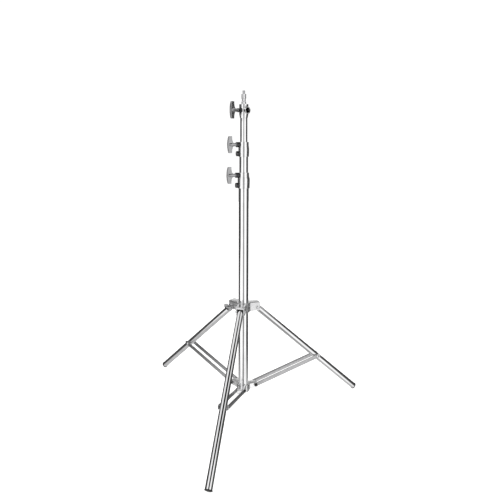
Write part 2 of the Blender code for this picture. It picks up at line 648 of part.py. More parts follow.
def make_riser(number, radius, bore, bottom, top, parent):
    """A riser tube on the nylon bush that guides it inside the tube below."""
    slide = empty("riser_" + number + "_slide", parent, (0, 0, bottom - BUSH_FLANGE - TOUCH_GAP))
    bush = turned("riser_" + number + "_bush",
                  plug_outline(radius - TUBE_WALL - RUNNING_GAP, bore - RUNNING_GAP, PLUG_LENGTH, BUSH_FLANGE),
                  SMALL_SIDES, closed=False)
    finish(bush, "black_nylon", slide, (0, 0, BUSH_FLANGE))
    turning = empty("riser_" + number + "_turn", slide, (0, 0, BUSH_FLANGE + TOUCH_GAP))
    make_tube("riser_" + number + "_tube", radius, TUBE_WALL, 0, top - bottom, TUBE_SIDES, turning)
    return turning


def make_head(turning, base):
    """The head on the top riser: heights measured from its lower edge; its knob is at HEAD_TURN."""
    tenon = RISER_3_R - TUBE_WALL - TOUCH_GAP
    socket = SPIGOT_R + RUNNING_GAP
    foot_radius = RISER_3_R + CHAMFER / 2
    tenon_bottom = HEAD_HEIGHT - SPIGOT_IN_HEAD - HEAD_TENON_WALL
    socket_bottom = HEAD_HEIGHT - SPIGOT_IN_HEAD - TOUCH_GAP
    head = turned("head",
                  [(0, HEAD_HEIGHT), (HEAD_RADIUS - CHAMFER, HEAD_HEIGHT), (HEAD_RADIUS, HEAD_HEIGHT - CHAMFER),
                   (HEAD_RADIUS, HEAD_CONE_HEIGHT), (foot_radius, 0), (tenon, 0), (tenon, tenon_bottom),
                   (0, tenon_bottom)],
                  TUBE_SIDES, closed=False)
    bore = SIDE_SOCKET_DIAMETER / 2
    middle = SIDE_SOCKET_HEIGHT
    wall_start = socket + CHAMFER
    side_boss = rod("head_side_boss", SIDE_BOSS_RADIUS, -SIDE_BOSS_REACH, -wall_start, "Y", (0, middle), 24)
    side_foot = rod("head_side_foot", RISER_3_R, CHAMFER / 2, middle + CHAMFER, "Z", (0, 0), 22,
                    end_radius=SIDE_BOSS_RADIUS - 2 * CHAMFER)
    lean = (SIDE_BOSS_REACH - CHAMFER / 2 - SIDE_BOSS_RADIUS + 2 * CHAMFER) / middle
    side_foot.data.transform(Matrix(((1, 0, 0, 0), (0, 1, -lean, 0), (0, 0, 1, 0), (0, 0, 0, 1))))
    knob_boss = rod("head_knob_boss", HEAD_BOSS_RADIUS, -HEAD_BOSS_REACH, -wall_start, "X", (0, middle), 20)
    add(head, side_boss)
    add(head, side_foot)
    add(head, knob_boss)
    mouth = HEAD_HEIGHT + CHAMFER
    cut(head, turned("head_bore",
                     [(0, mouth), (socket + 2 * CHAMFER, mouth), (socket, HEAD_HEIGHT - CHAMFER),
                      (socket, socket_bottom), (0, socket_bottom)], TUBE_SIDES, CUTTERS, closed=False))
    cut(head, rod("head_side_socket", bore, -2 * SIDE_BOSS_REACH, 0, "Y", (0, middle), 24))
    cut(head, rod("head_side_chamfer", bore + 2 * CHAMFER, -SIDE_BOSS_REACH - CHAMFER,
                  2 * CHAMFER - SIDE_BOSS_REACH, "Y", (0, middle), 24, end_radius=bore - CHAMFER))
    cut(head, rod("head_knob_hole", KNOB_SCREW_RADIUS + TOUCH_GAP, -2 * HEAD_BOSS_REACH, -socket / 2, "X",
                  (0, middle), SMALL_SIDES))
    guide = empty("head_frame", turning, (0, 0, base), (0, 0, HEAD_TURN))
    finish(head, "cast_metal", guide)
    knob_axis = knob_guide("head_knob_axis", guide, math.pi, middle, HEAD_BOSS_REACH + KNOB_GAP)
    make_knob("head_knob", "head_knob_screw", knob_axis,
              HEAD_BOSS_REACH + KNOB_GAP - SPIGOT_R - 2 * TOUCH_GAP)
    make_spigot(guide)


def make_spigot(guide):
    """The removable spigot in the head, with a waist for the knob's screw and a threaded stud on top."""
    bottom = HEAD_HEIGHT - SPIGOT_IN_HEAD
    shoulder = HEAD_HEIGHT + SPIGOT_SHOWN
    waist = SPIGOT_R - SPIGOT_WAIST_DEPTH
    waist_top = HEAD_HEIGHT + SPIGOT_SHOWN / 2
    waist_bottom = HEAD_HEIGHT + SPIGOT_SHOWN / 4
    stud = STUD_DIAMETER / 2
    spigot = turned("spigot",
                    [(0, shoulder + STUD_LENGTH), (stud - CHAMFER / 2, shoulder + STUD_LENGTH),
                     (stud, shoulder + STUD_LENGTH - CHAMFER / 2), (stud, shoulder),
                     (SPIGOT_R - CHAMFER / 2, shoulder), (SPIGOT_R, shoulder - CHAMFER / 2),
                     (SPIGOT_R, waist_top + CHAMFER), (waist, waist_top), (waist, waist_bottom + CHAMFER),
                     (SPIGOT_R, waist_bottom), (SPIGOT_R, bottom + CHAMFER), (SPIGOT_R - CHAMFER, bottom),
                     (0, bottom)], LEG_SIDES, closed=False)
    finish(spigot, "bright_screw", guide)


def make_stand():
    column = empty("column_frame", None, (column_x(), 0, 0))
    make_column(column)
    hub_guide = empty("leg_hub_slide", column, (0, 0, LEG_PIVOT_HEIGHT))
    make_leg_hub(hub_guide)
    for side, azimuth in LEG_ANGLES.items():
        make_leg(side, azimuth, hub_guide)
        make_strut(side, azimuth, column)
    riser_2 = make_riser("2", RISER_2_R, LOWER_R - TUBE_WALL, RISER_2_BOTTOM, RISER_2_TOP, column)
    knob_height, knob_face = make_collar("collar_2", RISER_2_R, RISER_3_R, COLLAR_2_HEIGHT, COLLAR_2_TOP_WALL,
                                         riser_2, COLLAR_2_BOTTOM - RISER_2_BOTTOM)
    guide = knob_guide("collar_2_knob_axis", riser_2, math.pi, knob_height, knob_face + KNOB_GAP)
    make_knob("collar_2_knob", "collar_2_knob_screw", guide,
              knob_face + KNOB_GAP - pad_outer(RISER_3_R) + TOUCH_GAP / 2)
    riser_3 = make_riser("3", RISER_3_R, RISER_2_R - TUBE_WALL, RISER_3_BOTTOM - RISER_2_BOTTOM,
                         RISER_3_TOP - RISER_2_BOTTOM, riser_2)
    make_head(riser_3, HEAD_BOTTOM - RISER_3_BOTTOM)


make_stand()
print("pivot height", round(LEG_PIVOT_HEIGHT, 5), "column x", round(column_x(), 5))
print("strut length", round(STRUT_LENGTH, 5), "strut tilt", round(math.degrees(STRUT_TILT), 3))
print("head top", round(HEAD_TOP, 5), "riser bottoms", round(RISER_2_BOTTOM, 5), round(RISER_3_BOTTOM, 5))
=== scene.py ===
# %% [markdown]
# # A light stand, dressed on its frame
# The stand has three nested tubes on a folding tripod base, with a wing knob at each lock. The frame
# gives the solids, their places and their joints; this script makes the fine surfaces and finishes
# that stand for them, and each one rides on the body that it belongs to.

# %% Load the frame
import json
import math

import bmesh
import bpy
import numpy as np
from mathutils import Matrix, Vector


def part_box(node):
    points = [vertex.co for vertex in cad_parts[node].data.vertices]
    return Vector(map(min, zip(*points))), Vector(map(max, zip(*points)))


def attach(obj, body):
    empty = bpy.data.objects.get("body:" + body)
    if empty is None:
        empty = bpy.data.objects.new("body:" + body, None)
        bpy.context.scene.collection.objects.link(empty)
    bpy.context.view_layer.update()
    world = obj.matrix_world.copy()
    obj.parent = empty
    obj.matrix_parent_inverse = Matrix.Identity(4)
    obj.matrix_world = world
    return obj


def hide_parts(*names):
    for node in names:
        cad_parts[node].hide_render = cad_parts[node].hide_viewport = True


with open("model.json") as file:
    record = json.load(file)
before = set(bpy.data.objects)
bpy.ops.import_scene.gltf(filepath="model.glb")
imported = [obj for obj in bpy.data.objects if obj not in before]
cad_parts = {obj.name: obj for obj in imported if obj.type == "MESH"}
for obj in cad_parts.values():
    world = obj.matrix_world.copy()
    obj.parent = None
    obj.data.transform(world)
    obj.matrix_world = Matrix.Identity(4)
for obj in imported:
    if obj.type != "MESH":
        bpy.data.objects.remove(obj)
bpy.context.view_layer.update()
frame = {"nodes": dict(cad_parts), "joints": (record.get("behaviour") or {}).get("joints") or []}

JOINTS = {joint["name"]: joint for joint in frame["joints"]}

# %% [markdown]
# ## Sizes
# Heights and places come from the frame. What the frame can't say, such as a fillet or a thread's
# pitch, is a named value here, in metres.

# %% Sizes and places
SIDES = {"right": 0.0, "left": math.radians(120), "front": math.radians(240)}
LEG_TILT = math.radians(48.2)
STRUT_DISTANCE = 0.316
HEAD_TURN = math.radians(24)
TUBE_WALL = 0.0012
LOWER_R, RISER_2_R, RISER_3_R, LEG_R = 0.0175, 0.015, 0.0125, 0.011
SPIGOT_R, STUD_R = 0.0079, 0.0047
SCREW_R, BOLT_R, RIVET_R = 0.003, 0.003, 0.0026
GAP = 0.0003
RUNNING_GAP = 0.0004
SOFT_EDGE = 0.0006
SCREW_PITCH, SCREW_THREAD_DEPTH = 0.001, 0.0005
STUD_PITCH, STUD_THREAD_DEPTH = 0.0016, 0.0008
ROWS_PER_TURN = 10
FINE_SIDES = 96

column_low, column_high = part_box("lower_tube")
COLUMN_X = (column_low.x + column_high.x) / 2
COLUMN = Matrix.Translation((COLUMN_X, 0, 0))


def turn_z(angle):
    return Matrix.Rotation(angle, 4, "Z")


def turn_y(angle):
    return Matrix.Rotation(angle, 4, "Y")


def turn_x(angle):
    return Matrix.Rotation(angle, 4, "X")


def raised(height, angle=0.0):
    """A place on the column's axis at a height, turned to an azimuth."""
    return COLUMN @ Matrix.Translation((0, 0, height)) @ turn_z(angle)


def outward(height, azimuth, face, roll=0.0):
    """A place with +Z pointing straight out from the column, at a distance from its axis."""
    return raised(height, azimuth) @ Matrix.Translation((face, 0, 0)) @ turn_y(math.pi / 2) @ turn_z(roll)


def pivot(joint):
    return Vector(JOINTS[joint]["pos_m"])


def leg_place(side):
    """The leg's own frame: -Z runs down the leg from its pivot, and Y lies along the pivot bolt."""
    return Matrix.Translation(pivot(f"leg_{side}_swing")) @ turn_z(SIDES[side]) @ turn_y(-LEG_TILT)


def strut_run(side):
    """Length and lean of a strut, from its foot pivot to the joint on the leg."""
    away = leg_place(side) @ Vector((0, 0, -STRUT_DISTANCE)) - pivot(f"strut_{side}_swing")
    return away.length, math.atan2(math.hypot(away.x, away.y), away.z)


def strut_place(side):
    lean = strut_run(side)[1]
    return Matrix.Translation(pivot(f"strut_{side}_swing")) @ turn_z(SIDES[side]) @ turn_y(lean)


HUB_HEIGHT = pivot("leg_right_swing").z
LOWER_HUB_HEIGHT = pivot("strut_right_swing").z
print("column at", round(COLUMN_X, 4), "hub pivots at", round(HUB_HEIGHT, 4))

# %% [markdown]
# ## Surfaces
# Every new piece is a grid of points that a formula fills in one go: rows follow a profile and columns
# go round it. Rows that shrink to a point close the surface, and its corners are rounded in the
# profile, as a casting or a turned part has them. UVs are lengths in metres, for the finishes.

# %% Surface tools
MERGE = 1e-7
SHARP_FROM = math.radians(38)


def cumulative(steps):
    return np.concatenate([[0.0], np.cumsum(steps)])


def mesh_of(points, faces, uvs):
    """A mesh with doubled points merged and its normals outwards."""
    mesh = bpy.data.meshes.new("shape")
    mesh.from_pydata(points.tolist(), [], faces)
    mesh.uv_layers.new(name="metres").data.foreach_set("uv", uvs.astype(np.float32).ravel())
    bm = bmesh.new()
    bm.from_mesh(mesh)
    bmesh.ops.remove_doubles(bm, verts=bm.verts, dist=MERGE)
    bmesh.ops.recalc_face_normals(bm, faces=bm.faces)
    bm.to_mesh(mesh)
    bm.free()
    return mesh


def grid(points, wrap_rows=False, lids=False):
    """Quads through points[row, column]. Columns wrap round, and rows wrap where the profile is a loop.
    The UV is the length round the widest ring and the length along the profile."""
    rows, columns = points.shape[:2]
    row = np.arange(rows if wrap_rows else rows - 1)[:, None]
    column = np.arange(columns)[None, :]
    after = (column + 1) % columns
    below, above = row * columns, (row + 1) % rows * columns
    quads = np.stack([below + column, below + after, above + after, above + column], -1)
    ring = np.concatenate([points, points[:, :1]], 1)
    loop = np.concatenate([points, points[:1]], 0)
    around = cumulative(np.linalg.norm(np.diff(ring, axis=1), axis=2).max(0))
    along = cumulative(np.linalg.norm(np.diff(loop, axis=0), axis=2).mean(1))
    flat = np.zeros_like(quads[..., 0], float)
    u = np.stack([flat + around[column], flat + around[column + 1]], -1)[..., [0, 1, 1, 0]]
    v = np.stack([flat + along[row], flat + along[row + 1]], -1)[..., [0, 0, 1, 1]]
    faces = quads.reshape(-1, 4).tolist()
    uvs = np.stack([u, v], -1).reshape(-1, 2)
    flat_points = points.reshape(-1, 3)
    if lids:
        for lid in (np.arange(columns)[::-1], np.arange(columns) + (rows - 1) * columns):
            faces.append(lid.tolist())
            uvs = np.concatenate([uvs, flat_points[lid][:, [0, 2]]])
    return mesh_of(flat_points, faces, uvs)


def poled(points):
    """The same rows and one more at each end, where the ring has shrunk to its middle."""
    ends = [np.repeat(points[end].mean(0)[None, None], points.shape[1], 1) for end in (0, -1)]
    return np.concatenate([ends[0], points, ends[1]])


def rounded(corners, closed=False, steps=6):
    """Points (across, height) through corners (across, height, round): at each corner the line leaves the
    straight at the given distance before it and curves to the same distance after it."""
    corners = np.array(corners, float)
    corner, reach = corners[:, :2], corners[:, 2].copy()
    before = np.roll(corner, 1, 0) - corner
    after = np.roll(corner, -1, 0) - corner
    before_length = np.linalg.norm(before, axis=1)
    after_length = np.linalg.norm(after, axis=1)
    reach = np.minimum(reach, 0.49 * np.minimum(before_length, after_length))
    if not closed:
        reach[[0, -1]] = 0
    start = corner + before * (reach / before_length)[:, None]
    end = corner + after * (reach / after_length)[:, None]
    t = np.linspace(0, 1, steps)[None, :, None]
    line = (1 - t) ** 2 * start[:, None] + 2 * t * (1 - t) * corner[:, None] + t ** 2 * end[:, None]
    line = line.reshape(-1, 2)
    new = np.linalg.norm(np.diff(line, axis=0), axis=1) > MERGE
    return line[np.concatenate([[True], new])]


def circle(sides):
    return np.linspace(0, 2 * np.pi, sides, endpoint=False)


def turned(profile, closed=False, sides=FINE_SIDES):
    """A profile of (radius, height) carried round Z: x = radius cos a, y = radius sin a."""
    angle = circle(sides)
    radius, height = profile[:, :1], profile[:, 1:]
    points = np.stack([radius * np.cos(angle), radius * np.sin(angle), height + 0 * angle], -1)
    return grid(points, wrap_rows=closed)


def pipe(inner, outer, bottom, top, edge=0.00025, sides=FINE_SIDES):
    """The wall of a tube with its cut edges broken."""
    loop = [(outer, top, edge), (outer, bottom, edge), (inner, bottom, edge), (inner, top, edge)]
    return turned(rounded(loop, closed=True, steps=4), closed=True, sides=sides)


def plate(outline, thickness, edge, middle=0.0):
    """A flat outline in XZ thickened along Y. Near each face the outline is drawn in by
    edge (1 - cos q) while the depth grows by edge sin q, so the edge is a quarter round."""
    along = np.roll(outline, -1, 0) - np.roll(outline, 1, 0)
    x, z = outline[:, 0], outline[:, 1]
    turn = np.sign(np.sum(x * np.roll(z, -1) - z * np.roll(x, -1)))
    inward = turn * np.stack([-along[:, 1], along[:, 0]], -1)
    inward /= np.linalg.norm(inward, axis=1)[:, None]
    q = np.linspace(np.pi / 2, 0, 5)
    inset = np.concatenate([edge * (1 - np.cos(q)), edge * (1 - np.cos(q[::-1]))])
    depth = thickness / 2 - edge + edge * np.sin(q)
    depth = np.concatenate([-depth, depth[::-1]]) + middle
    flat = outline[None] + inset[:, None, None] * inward[None]
    points = np.stack([flat[..., 0], depth[:, None] + 0 * flat[..., 0], flat[..., 1]], -1)
    return grid(points, lids=True)


def boss(skin, height, profile, foot, blend, ceiling, floor, sides=72):
    """A round boss on the +X side of a turned body. The profile (radius, reach) ends on the boss's side
    at the radius foot; from there the side curves out over blend until it lies on the body's skin.
    The skin is the body's outline (height, radius), so at an offset y it lies at sqrt(radius^2 - y^2)."""
    angle = circle(sides)

    def depth(radius):
        across = radius * np.cos(angle)
        body = np.interp(height + radius * np.sin(angle), skin[:, 0], skin[:, 1])
        return np.sqrt(np.maximum(body ** 2 - across ** 2, 0))

    t = np.linspace(0, 1, 8)[:, None]
    near, far = depth(foot), depth(foot + blend)
    reach = (1 - t) ** 2 * (near + blend) + 2 * t * (1 - t) * near + t ** 2 * far
    radius = foot + blend * t ** 2 + 0 * angle
    sunk = np.stack([far - blend / 2, floor + 0 * far])
    reach = np.concatenate([profile[:, 1:] + 0 * angle, reach, sunk])
    radius = np.concatenate([profile[:, :1] + 0 * angle, radius, radius[-1:], 0 * radius[-1:]])
    up = np.minimum(height + radius * np.sin(angle), ceiling)
    return grid(np.stack([reach, radius * np.cos(angle), up], -1))


def hexed(profile, flat, sides=72):
    """A turned profile with its radius held inside a hexagon of the given half width across flats."""
    angle = circle(sides)
    edge = flat / np.cos((angle + np.pi / 6) % (np.pi / 3) - np.pi / 6)
    radius = np.minimum(profile[:, :1], edge[None, :])
    points = np.stack([radius * np.cos(angle), radius * np.sin(angle), profile[:, 1:] + 0 * angle], -1)
    return grid(points)


def placed(mesh, place):
    """The same mesh, moved to a place in its piece's own frame."""
    mesh.transform(place)
    return mesh


def painted_shade(mesh, amount):
    """The same mesh, with the share of painted shade at each vertex written on it: where it is 1, the
    casting's colour is painted near black.
    """
    attribute = mesh.attributes.new("painted_shade", "FLOAT", "POINT")
    attribute.data.foreach_set("value", np.broadcast_to(amount, len(mesh.vertices)).astype(np.float32))
    return mesh


def vertices(mesh):
    """The vertices of a mesh as an array of points."""
    flat = np.empty(3 * len(mesh.vertices))
    mesh.vertices.foreach_get("co", flat)
    return flat.reshape(-1, 3)


def carved(mesh, cutter):
    """What is left of a mesh after the cutter's shape is taken out of it."""
    things = [bpy.data.objects.new("carving", shape) for shape in (mesh, cutter)]
    for thing in things:
        bpy.context.scene.collection.objects.link(thing)
    step = things[0].modifiers.new("carve", "BOOLEAN")
    step.object = things[1]
    step.solver = "EXACT"
    bpy.context.view_layer.update()
    depsgraph = bpy.context.evaluated_depsgraph_get()
    left = bpy.data.meshes.new_from_object(things[0].evaluated_get(depsgraph))
    for thing in things:
        bpy.data.objects.remove(thing)
    return left


def piece(node, shapes, place, body, finish):
    """The fine form of a solid: one object out of closed shapes, at its place in the frame. It rides on
    its body and takes the solid's place."""
    bm = bmesh.new()
    for shape in shapes:
        bm.from_mesh(shape)
    bmesh.ops.transform(bm, matrix=place, verts=bm.verts)
    mesh = bpy.data.meshes.new(node + "_fine")
    bm.to_mesh(mesh)
    bm.free()
    mesh.shade_smooth()
    mesh.set_sharp_from_angle(angle=SHARP_FROM)
    mesh.materials.append(finish)
    thing = bpy.data.objects.new(node + "_fine", mesh)
    bpy.context.scene.collection.objects.link(thing)
    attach(thing, body)
    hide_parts(node)


# %% [markdown]
# ## Finishes
# Metal looks like metal through its small faults: drawn lines along a tube, grain in a casting,
# brush marks on a strip, turning rings on a spigot. Each finish is a Principled shader whose colour,
# roughness and bump come from noise in metres, so that the grain has its real size.

# %% Finish tools
NOISE_EDGE = (0.3, 0.7)


def noise(tree, space, scale, detail=3.0, stretch=(1, 1, 1)):
    """Noise in UV or Object coordinates, with about scale x stretch grains to the metre."""
    where = tree.nodes.new("ShaderNodeTexCoord")
    squeeze = tree.nodes.new("ShaderNodeMapping")
    squeeze.inputs["Scale"].default_value = stretch
    tree.links.new(where.outputs[space], squeeze.inputs["Vector"])
    texture = tree.nodes.new("ShaderNodeTexNoise")
    texture.inputs["Scale"].default_value = scale
    texture.inputs["Detail"].default_value = detail
    tree.links.new(squeeze.outputs["Vector"], texture.inputs["Vector"])
    return texture.outputs["Fac"]


def ramp(tree, factor, low, high, edge=NOISE_EDGE):
    """Noise turned into a colour between low and high."""
    node = tree.nodes.new("ShaderNodeValToRGB")
    first, last = node.color_ramp.elements
    first.position, last.position = edge
    first.color, last.color = (*low, 1), (*high, 1)
    tree.links.new(factor, node.inputs["Fac"])
    return node.outputs["Color"]


def fade(tree, value, edge, first, last, step="SMOOTHSTEP"):
    """A step from first to last while the value goes over the edge, from its start to its end."""
    node = tree.nodes.new("ShaderNodeMapRange")
    node.interpolation_type = step
    for name, number in zip(("From Min", "From Max", "To Min", "To Max"), (*edge, first, last)):
        node.inputs[name].default_value = number
    tree.links.new(value, node.inputs["Value"])
    return node.outputs["Result"]


def spread(tree, factor, low, high):
    """Noise turned into a number between low and high."""
    return fade(tree, factor, NOISE_EDGE, low, high, step="LINEAR")


def bump(tree, factor, depth, before=None):
    """A bump of the given depth in metres, on top of an earlier one."""
    node = tree.nodes.new("ShaderNodeBump")
    node.inputs["Distance"].default_value = depth
    tree.links.new(factor, node.inputs["Height"])
    if before is not None:
        tree.links.new(before, node.inputs["Normal"])
    return node.outputs["Normal"]


def grey(value):
    """A grey that is a touch cool, as bare metal is."""
    return value, value, value + 0.005


def new_finish(name, metallic):
    """A material, its node tree and its shader."""
    finish = bpy.data.materials.new(name)
    finish.use_nodes = True
    tree = finish.node_tree
    shader = tree.nodes["Principled BSDF"]
    shader.inputs["Metallic"].default_value = metallic
    return finish, tree, shader


def dress(tree, shader, colour, roughness, normal):
    tree.links.new(colour, shader.inputs["Base Color"])
    tree.links.new(roughness, shader.inputs["Roughness"])
    tree.links.new(normal, shader.inputs["Normal"])


# %% Metal finishes
# Near black: painted shade for the bosses' flanks and holes and for the inside of the head's side bore.
PAINTED_SHADE_COLOUR = (0.05, 0.05, 0.052, 1)


def polished_tube(name, low, high, gloss):
    """Bright tube: faint drawn lines along it, and hand marks that dull it in clouds."""
    finish, tree, shader = new_finish(name, 1.0)
    lines = noise(tree, "UV", 1.0, detail=4, stretch=(2600, 7, 1))
    clouds = noise(tree, "Object", 28.0, detail=4)
    colour = ramp(tree, clouds, low, high)
    dress(tree, shader, colour, spread(tree, clouds, gloss, gloss + 0.05), bump(tree, lines, 0.0000012))
    return finish


def cast_metal(name, low, high, roughness, grain, metallic):
    """Cast and tumbled metal: a sandy grain, soft patches, and a satin gloss. Where the mesh carries painted
    shade, the colour is painted near black, as shade on boss flanks and in holes."""
    finish, tree, shader = new_finish(name, metallic)
    patches = noise(tree, "Object", 90.0, detail=4)
    sand = noise(tree, "Object", 1500.0, detail=2)
    painted_shade = tree.nodes.new("ShaderNodeAttribute")
    painted_shade.attribute_name = "painted_shade"
    tint = tree.nodes.new("ShaderNodeMix")
    tint.data_type = "RGBA"
    tint.inputs["B"].default_value = PAINTED_SHADE_COLOUR
    tree.links.new(painted_shade.outputs["Fac"], tint.inputs["Factor"])
    tree.links.new(ramp(tree, patches, low, high), tint.inputs["A"])
    normal = bump(tree, patches, grain * 2, bump(tree, sand, grain))
    gloss = spread(tree, patches, roughness - 0.05, roughness + 0.06)
    dress(tree, shader, tint.outputs["Result"], gloss, normal)
    return finish


def brushed_strip():
    """Strip steel with its rolling lines along the bar."""
    finish, tree, shader = new_finish("brushed_strip", 0.95)
    lines = noise(tree, "UV", 1.0, detail=4, stretch=(2400, 20, 1))
    patches = noise(tree, "Object", 60.0)
    colour = ramp(tree, patches, grey(0.38), grey(0.46))
    dress(tree, shader, colour, spread(tree, lines, 0.26, 0.38), bump(tree, lines, 0.000004))
    return finish


def turned_steel():
    """Steel from the lathe: fine rings round the axis under a bright plating."""
    finish, tree, shader = new_finish("turned_steel", 1.0)
    rings = noise(tree, "UV", 1.0, stretch=(12, 5200, 1))
    patches = noise(tree, "Object", 120.0)
    colour = ramp(tree, patches, (0.68, 0.68, 0.69), (0.80, 0.80, 0.81))
    dress(tree, shader, colour, spread(tree, rings, 0.18, 0.28), bump(tree, rings, 0.000003))
    return finish


def blackened_steel_and_painted_shade():
    """Blackened steel, a little brown where the finish is thin. On the strut pivot bolts its near black is
    also painted shade, for the gaps beside the lugs.
    """
    finish, tree, shader = new_finish("blackened_steel_and_painted_shade", 0.8)
    patches = noise(tree, "Object", 700.0)
    colour = ramp(tree, patches, (0.018, 0.018, 0.02), (0.05, 0.046, 0.044))
    dress(tree, shader, colour, spread(tree, patches, 0.32, 0.5), bump(tree, patches, 0.00001))
    return finish


# %% Rubber and nylon finishes


def moulded(name, low, high, roughness, grain):
    """Moulded rubber or nylon: near black, with a fine matt skin and a little dust."""
    finish, tree, shader = new_finish(name, 0.0)
    skin = noise(tree, "Object", 2200.0, detail=2)
    dust = noise(tree, "Object", 160.0, detail=4)
    colour = ramp(tree, dust, low, high, edge=(0.4, 0.75))
    dress(tree, shader, colour, spread(tree, dust, roughness, roughness + 0.12), bump(tree, skin, grain))
    return finish


TUBE_FINISH = polished_tube("polished_tube", grey(0.80), grey(0.90), 0.07)
LEG_FINISH = polished_tube("leg_tube", grey(0.68), grey(0.78), 0.05)
CAST_FINISH = cast_metal("cast_metal", grey(0.55), grey(0.65), 0.16, 0.000004, 0.85)
HUB_FINISH = cast_metal("bright_casting", grey(0.74), grey(0.84), 0.20, 0.000005, 0.88)
PLATED_FINISH = cast_metal("plated_casting", grey(0.76), grey(0.84), 0.15, 0.000003, 1.0)
KNOB_FINISH = cast_metal("knob_casting", grey(0.30), grey(0.38), 0.2, 0.000002, 0.9)
STRIP_FINISH = brushed_strip()
STEEL_FINISH = turned_steel()
DARK_FINISH = blackened_steel_and_painted_shade()
RUBBER_FINISH = moulded("black_rubber", (0.012, 0.012, 0.012), (0.05, 0.05, 0.048), 0.62, 0.00002)
NYLON_FINISH = moulded("black_nylon", (0.014, 0.014, 0.016), (0.03, 0.03, 0.032), 0.4, 0.000008)
print("finishes:", len(bpy.data.materials))

# %% [markdown]
# ## Tubes, plugs and feet
# The tubes are drawn metal with their cut ends broken. The foot caps and the column's plug are moulded
# rubber: a plug that fills the tube's end and a flange below it.

# %% Tubes and caps


def tube_piece(node, radius, body):
    """A tube of the column, as long as its solid."""
    low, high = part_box(node)
    piece(node, [pipe(radius - TUBE_WALL, radius, low.z, high.z)], COLUMN, body, TUBE_FINISH)


CAP_THICKNESS = 0.0025
CAP_R = 0.012
CAP_CHAMFER = 0.0012
PLUG_LENGTH = 0.014
LEG_LENGTH = 0.536
LEG_TOP_PAST_PIVOT = 0.009


def cap(plug_radius, flange_radius, flange_height, sides=FINE_SIDES):
    """A plug above height 0 and a flange below it, whose lower edge has a chamfer."""
    return turned(rounded([(0, PLUG_LENGTH, 0), (plug_radius, PLUG_LENGTH, 0.0006), (plug_radius, 0, 0),
                           (flange_radius, 0, 0.0002), (flange_radius, CAP_CHAMFER - flange_height, 0.0003),
                           (flange_radius - CAP_CHAMFER, -flange_height, 0.0003),
                           (0, -flange_height, 0)]), sides=sides)


def leg_pieces(side):
    """A leg's tube and its foot cap."""
    place = leg_place(side)
    end = CAP_THICKNESS - LEG_LENGTH
    tube = pipe(LEG_R - TUBE_WALL, LEG_R, end + GAP, LEG_TOP_PAST_PIVOT, sides=72)
    piece("leg_tube_" + side, [tube], place, "leg_" + side, LEG_FINISH)
    foot_cap = cap(LEG_R - TUBE_WALL - GAP, CAP_R, CAP_THICKNESS, sides=72)
    piece("foot_cap_" + side, [placed(foot_cap, Matrix.Translation((0, 0, end)))], place, "leg_" + side,
          RUBBER_FINISH)


tube_piece("lower_tube", LOWER_R, "column")
tube_piece("riser_2_tube", RISER_2_R, "riser_2")
tube_piece("riser_3_tube", RISER_3_R, "riser_3")
for side in SIDES:
    leg_pieces(side)
cap_low, cap_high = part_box("column_end_cap")
end_cap = cap(LOWER_R - TUBE_WALL - RUNNING_GAP, LOWER_R - GAP, cap_high.z - cap_low.z - PLUG_LENGTH)
piece("column_end_cap", [end_cap], raised(cap_high.z - PLUG_LENGTH), "column", RUBBER_FINISH)
print("tubes and caps made")

# %% [markdown]
# ## Lock collars
# A collar is a barrel-shaped casting on a tube's top end. High on one side a round boss carries the
# wing knob's screw, and low on the same side a slightly smaller one holds the blackened socket screw
# that fixes the collar to its tube. Both bosses run into the barrel with a cast fillet.

# %% Collars
COLLAR_GRIP = 0.028
COLLAR_SLOPE = 0.012
COLLAR_BELLY_WALL = 0.0034
COLLAR_FOOT_WALL = 0.0026
COLLAR_1_TOP_WALL, COLLAR_2_TOP_WALL = 0.0032, 0.0044
KNOB_BELOW_TOP = 0.009
KNOB_BOSS_R = 0.0092
KNOB_BOSS_PROUD = 0.009
FIXING_ABOVE_BOTTOM = 0.0105
FIXING_BOSS_R = 0.0088
FIXING_BOSS_PROUD = 0.008
FIXING_SCREW_R = 0.0038
FIXING_RECESS = 0.0008
FIXING_HOLE_DEPTH = 0.006
KNOB_HOLE_DEPTH = 0.004
HEX_HALF = 0.0021
HEX_DEPTH = 0.0032


def holed_face(hole, hole_depth, radius, face, edge):
    """A boss's end: the bottom of its hole, the hole's wall, a broken rim and a rounded outer edge."""
    return rounded([(0, face - hole_depth, 0), (hole, face - hole_depth, 0), (hole, face, edge / 2),
                    (radius, face, edge), (radius, face - 2 * edge, 0)])


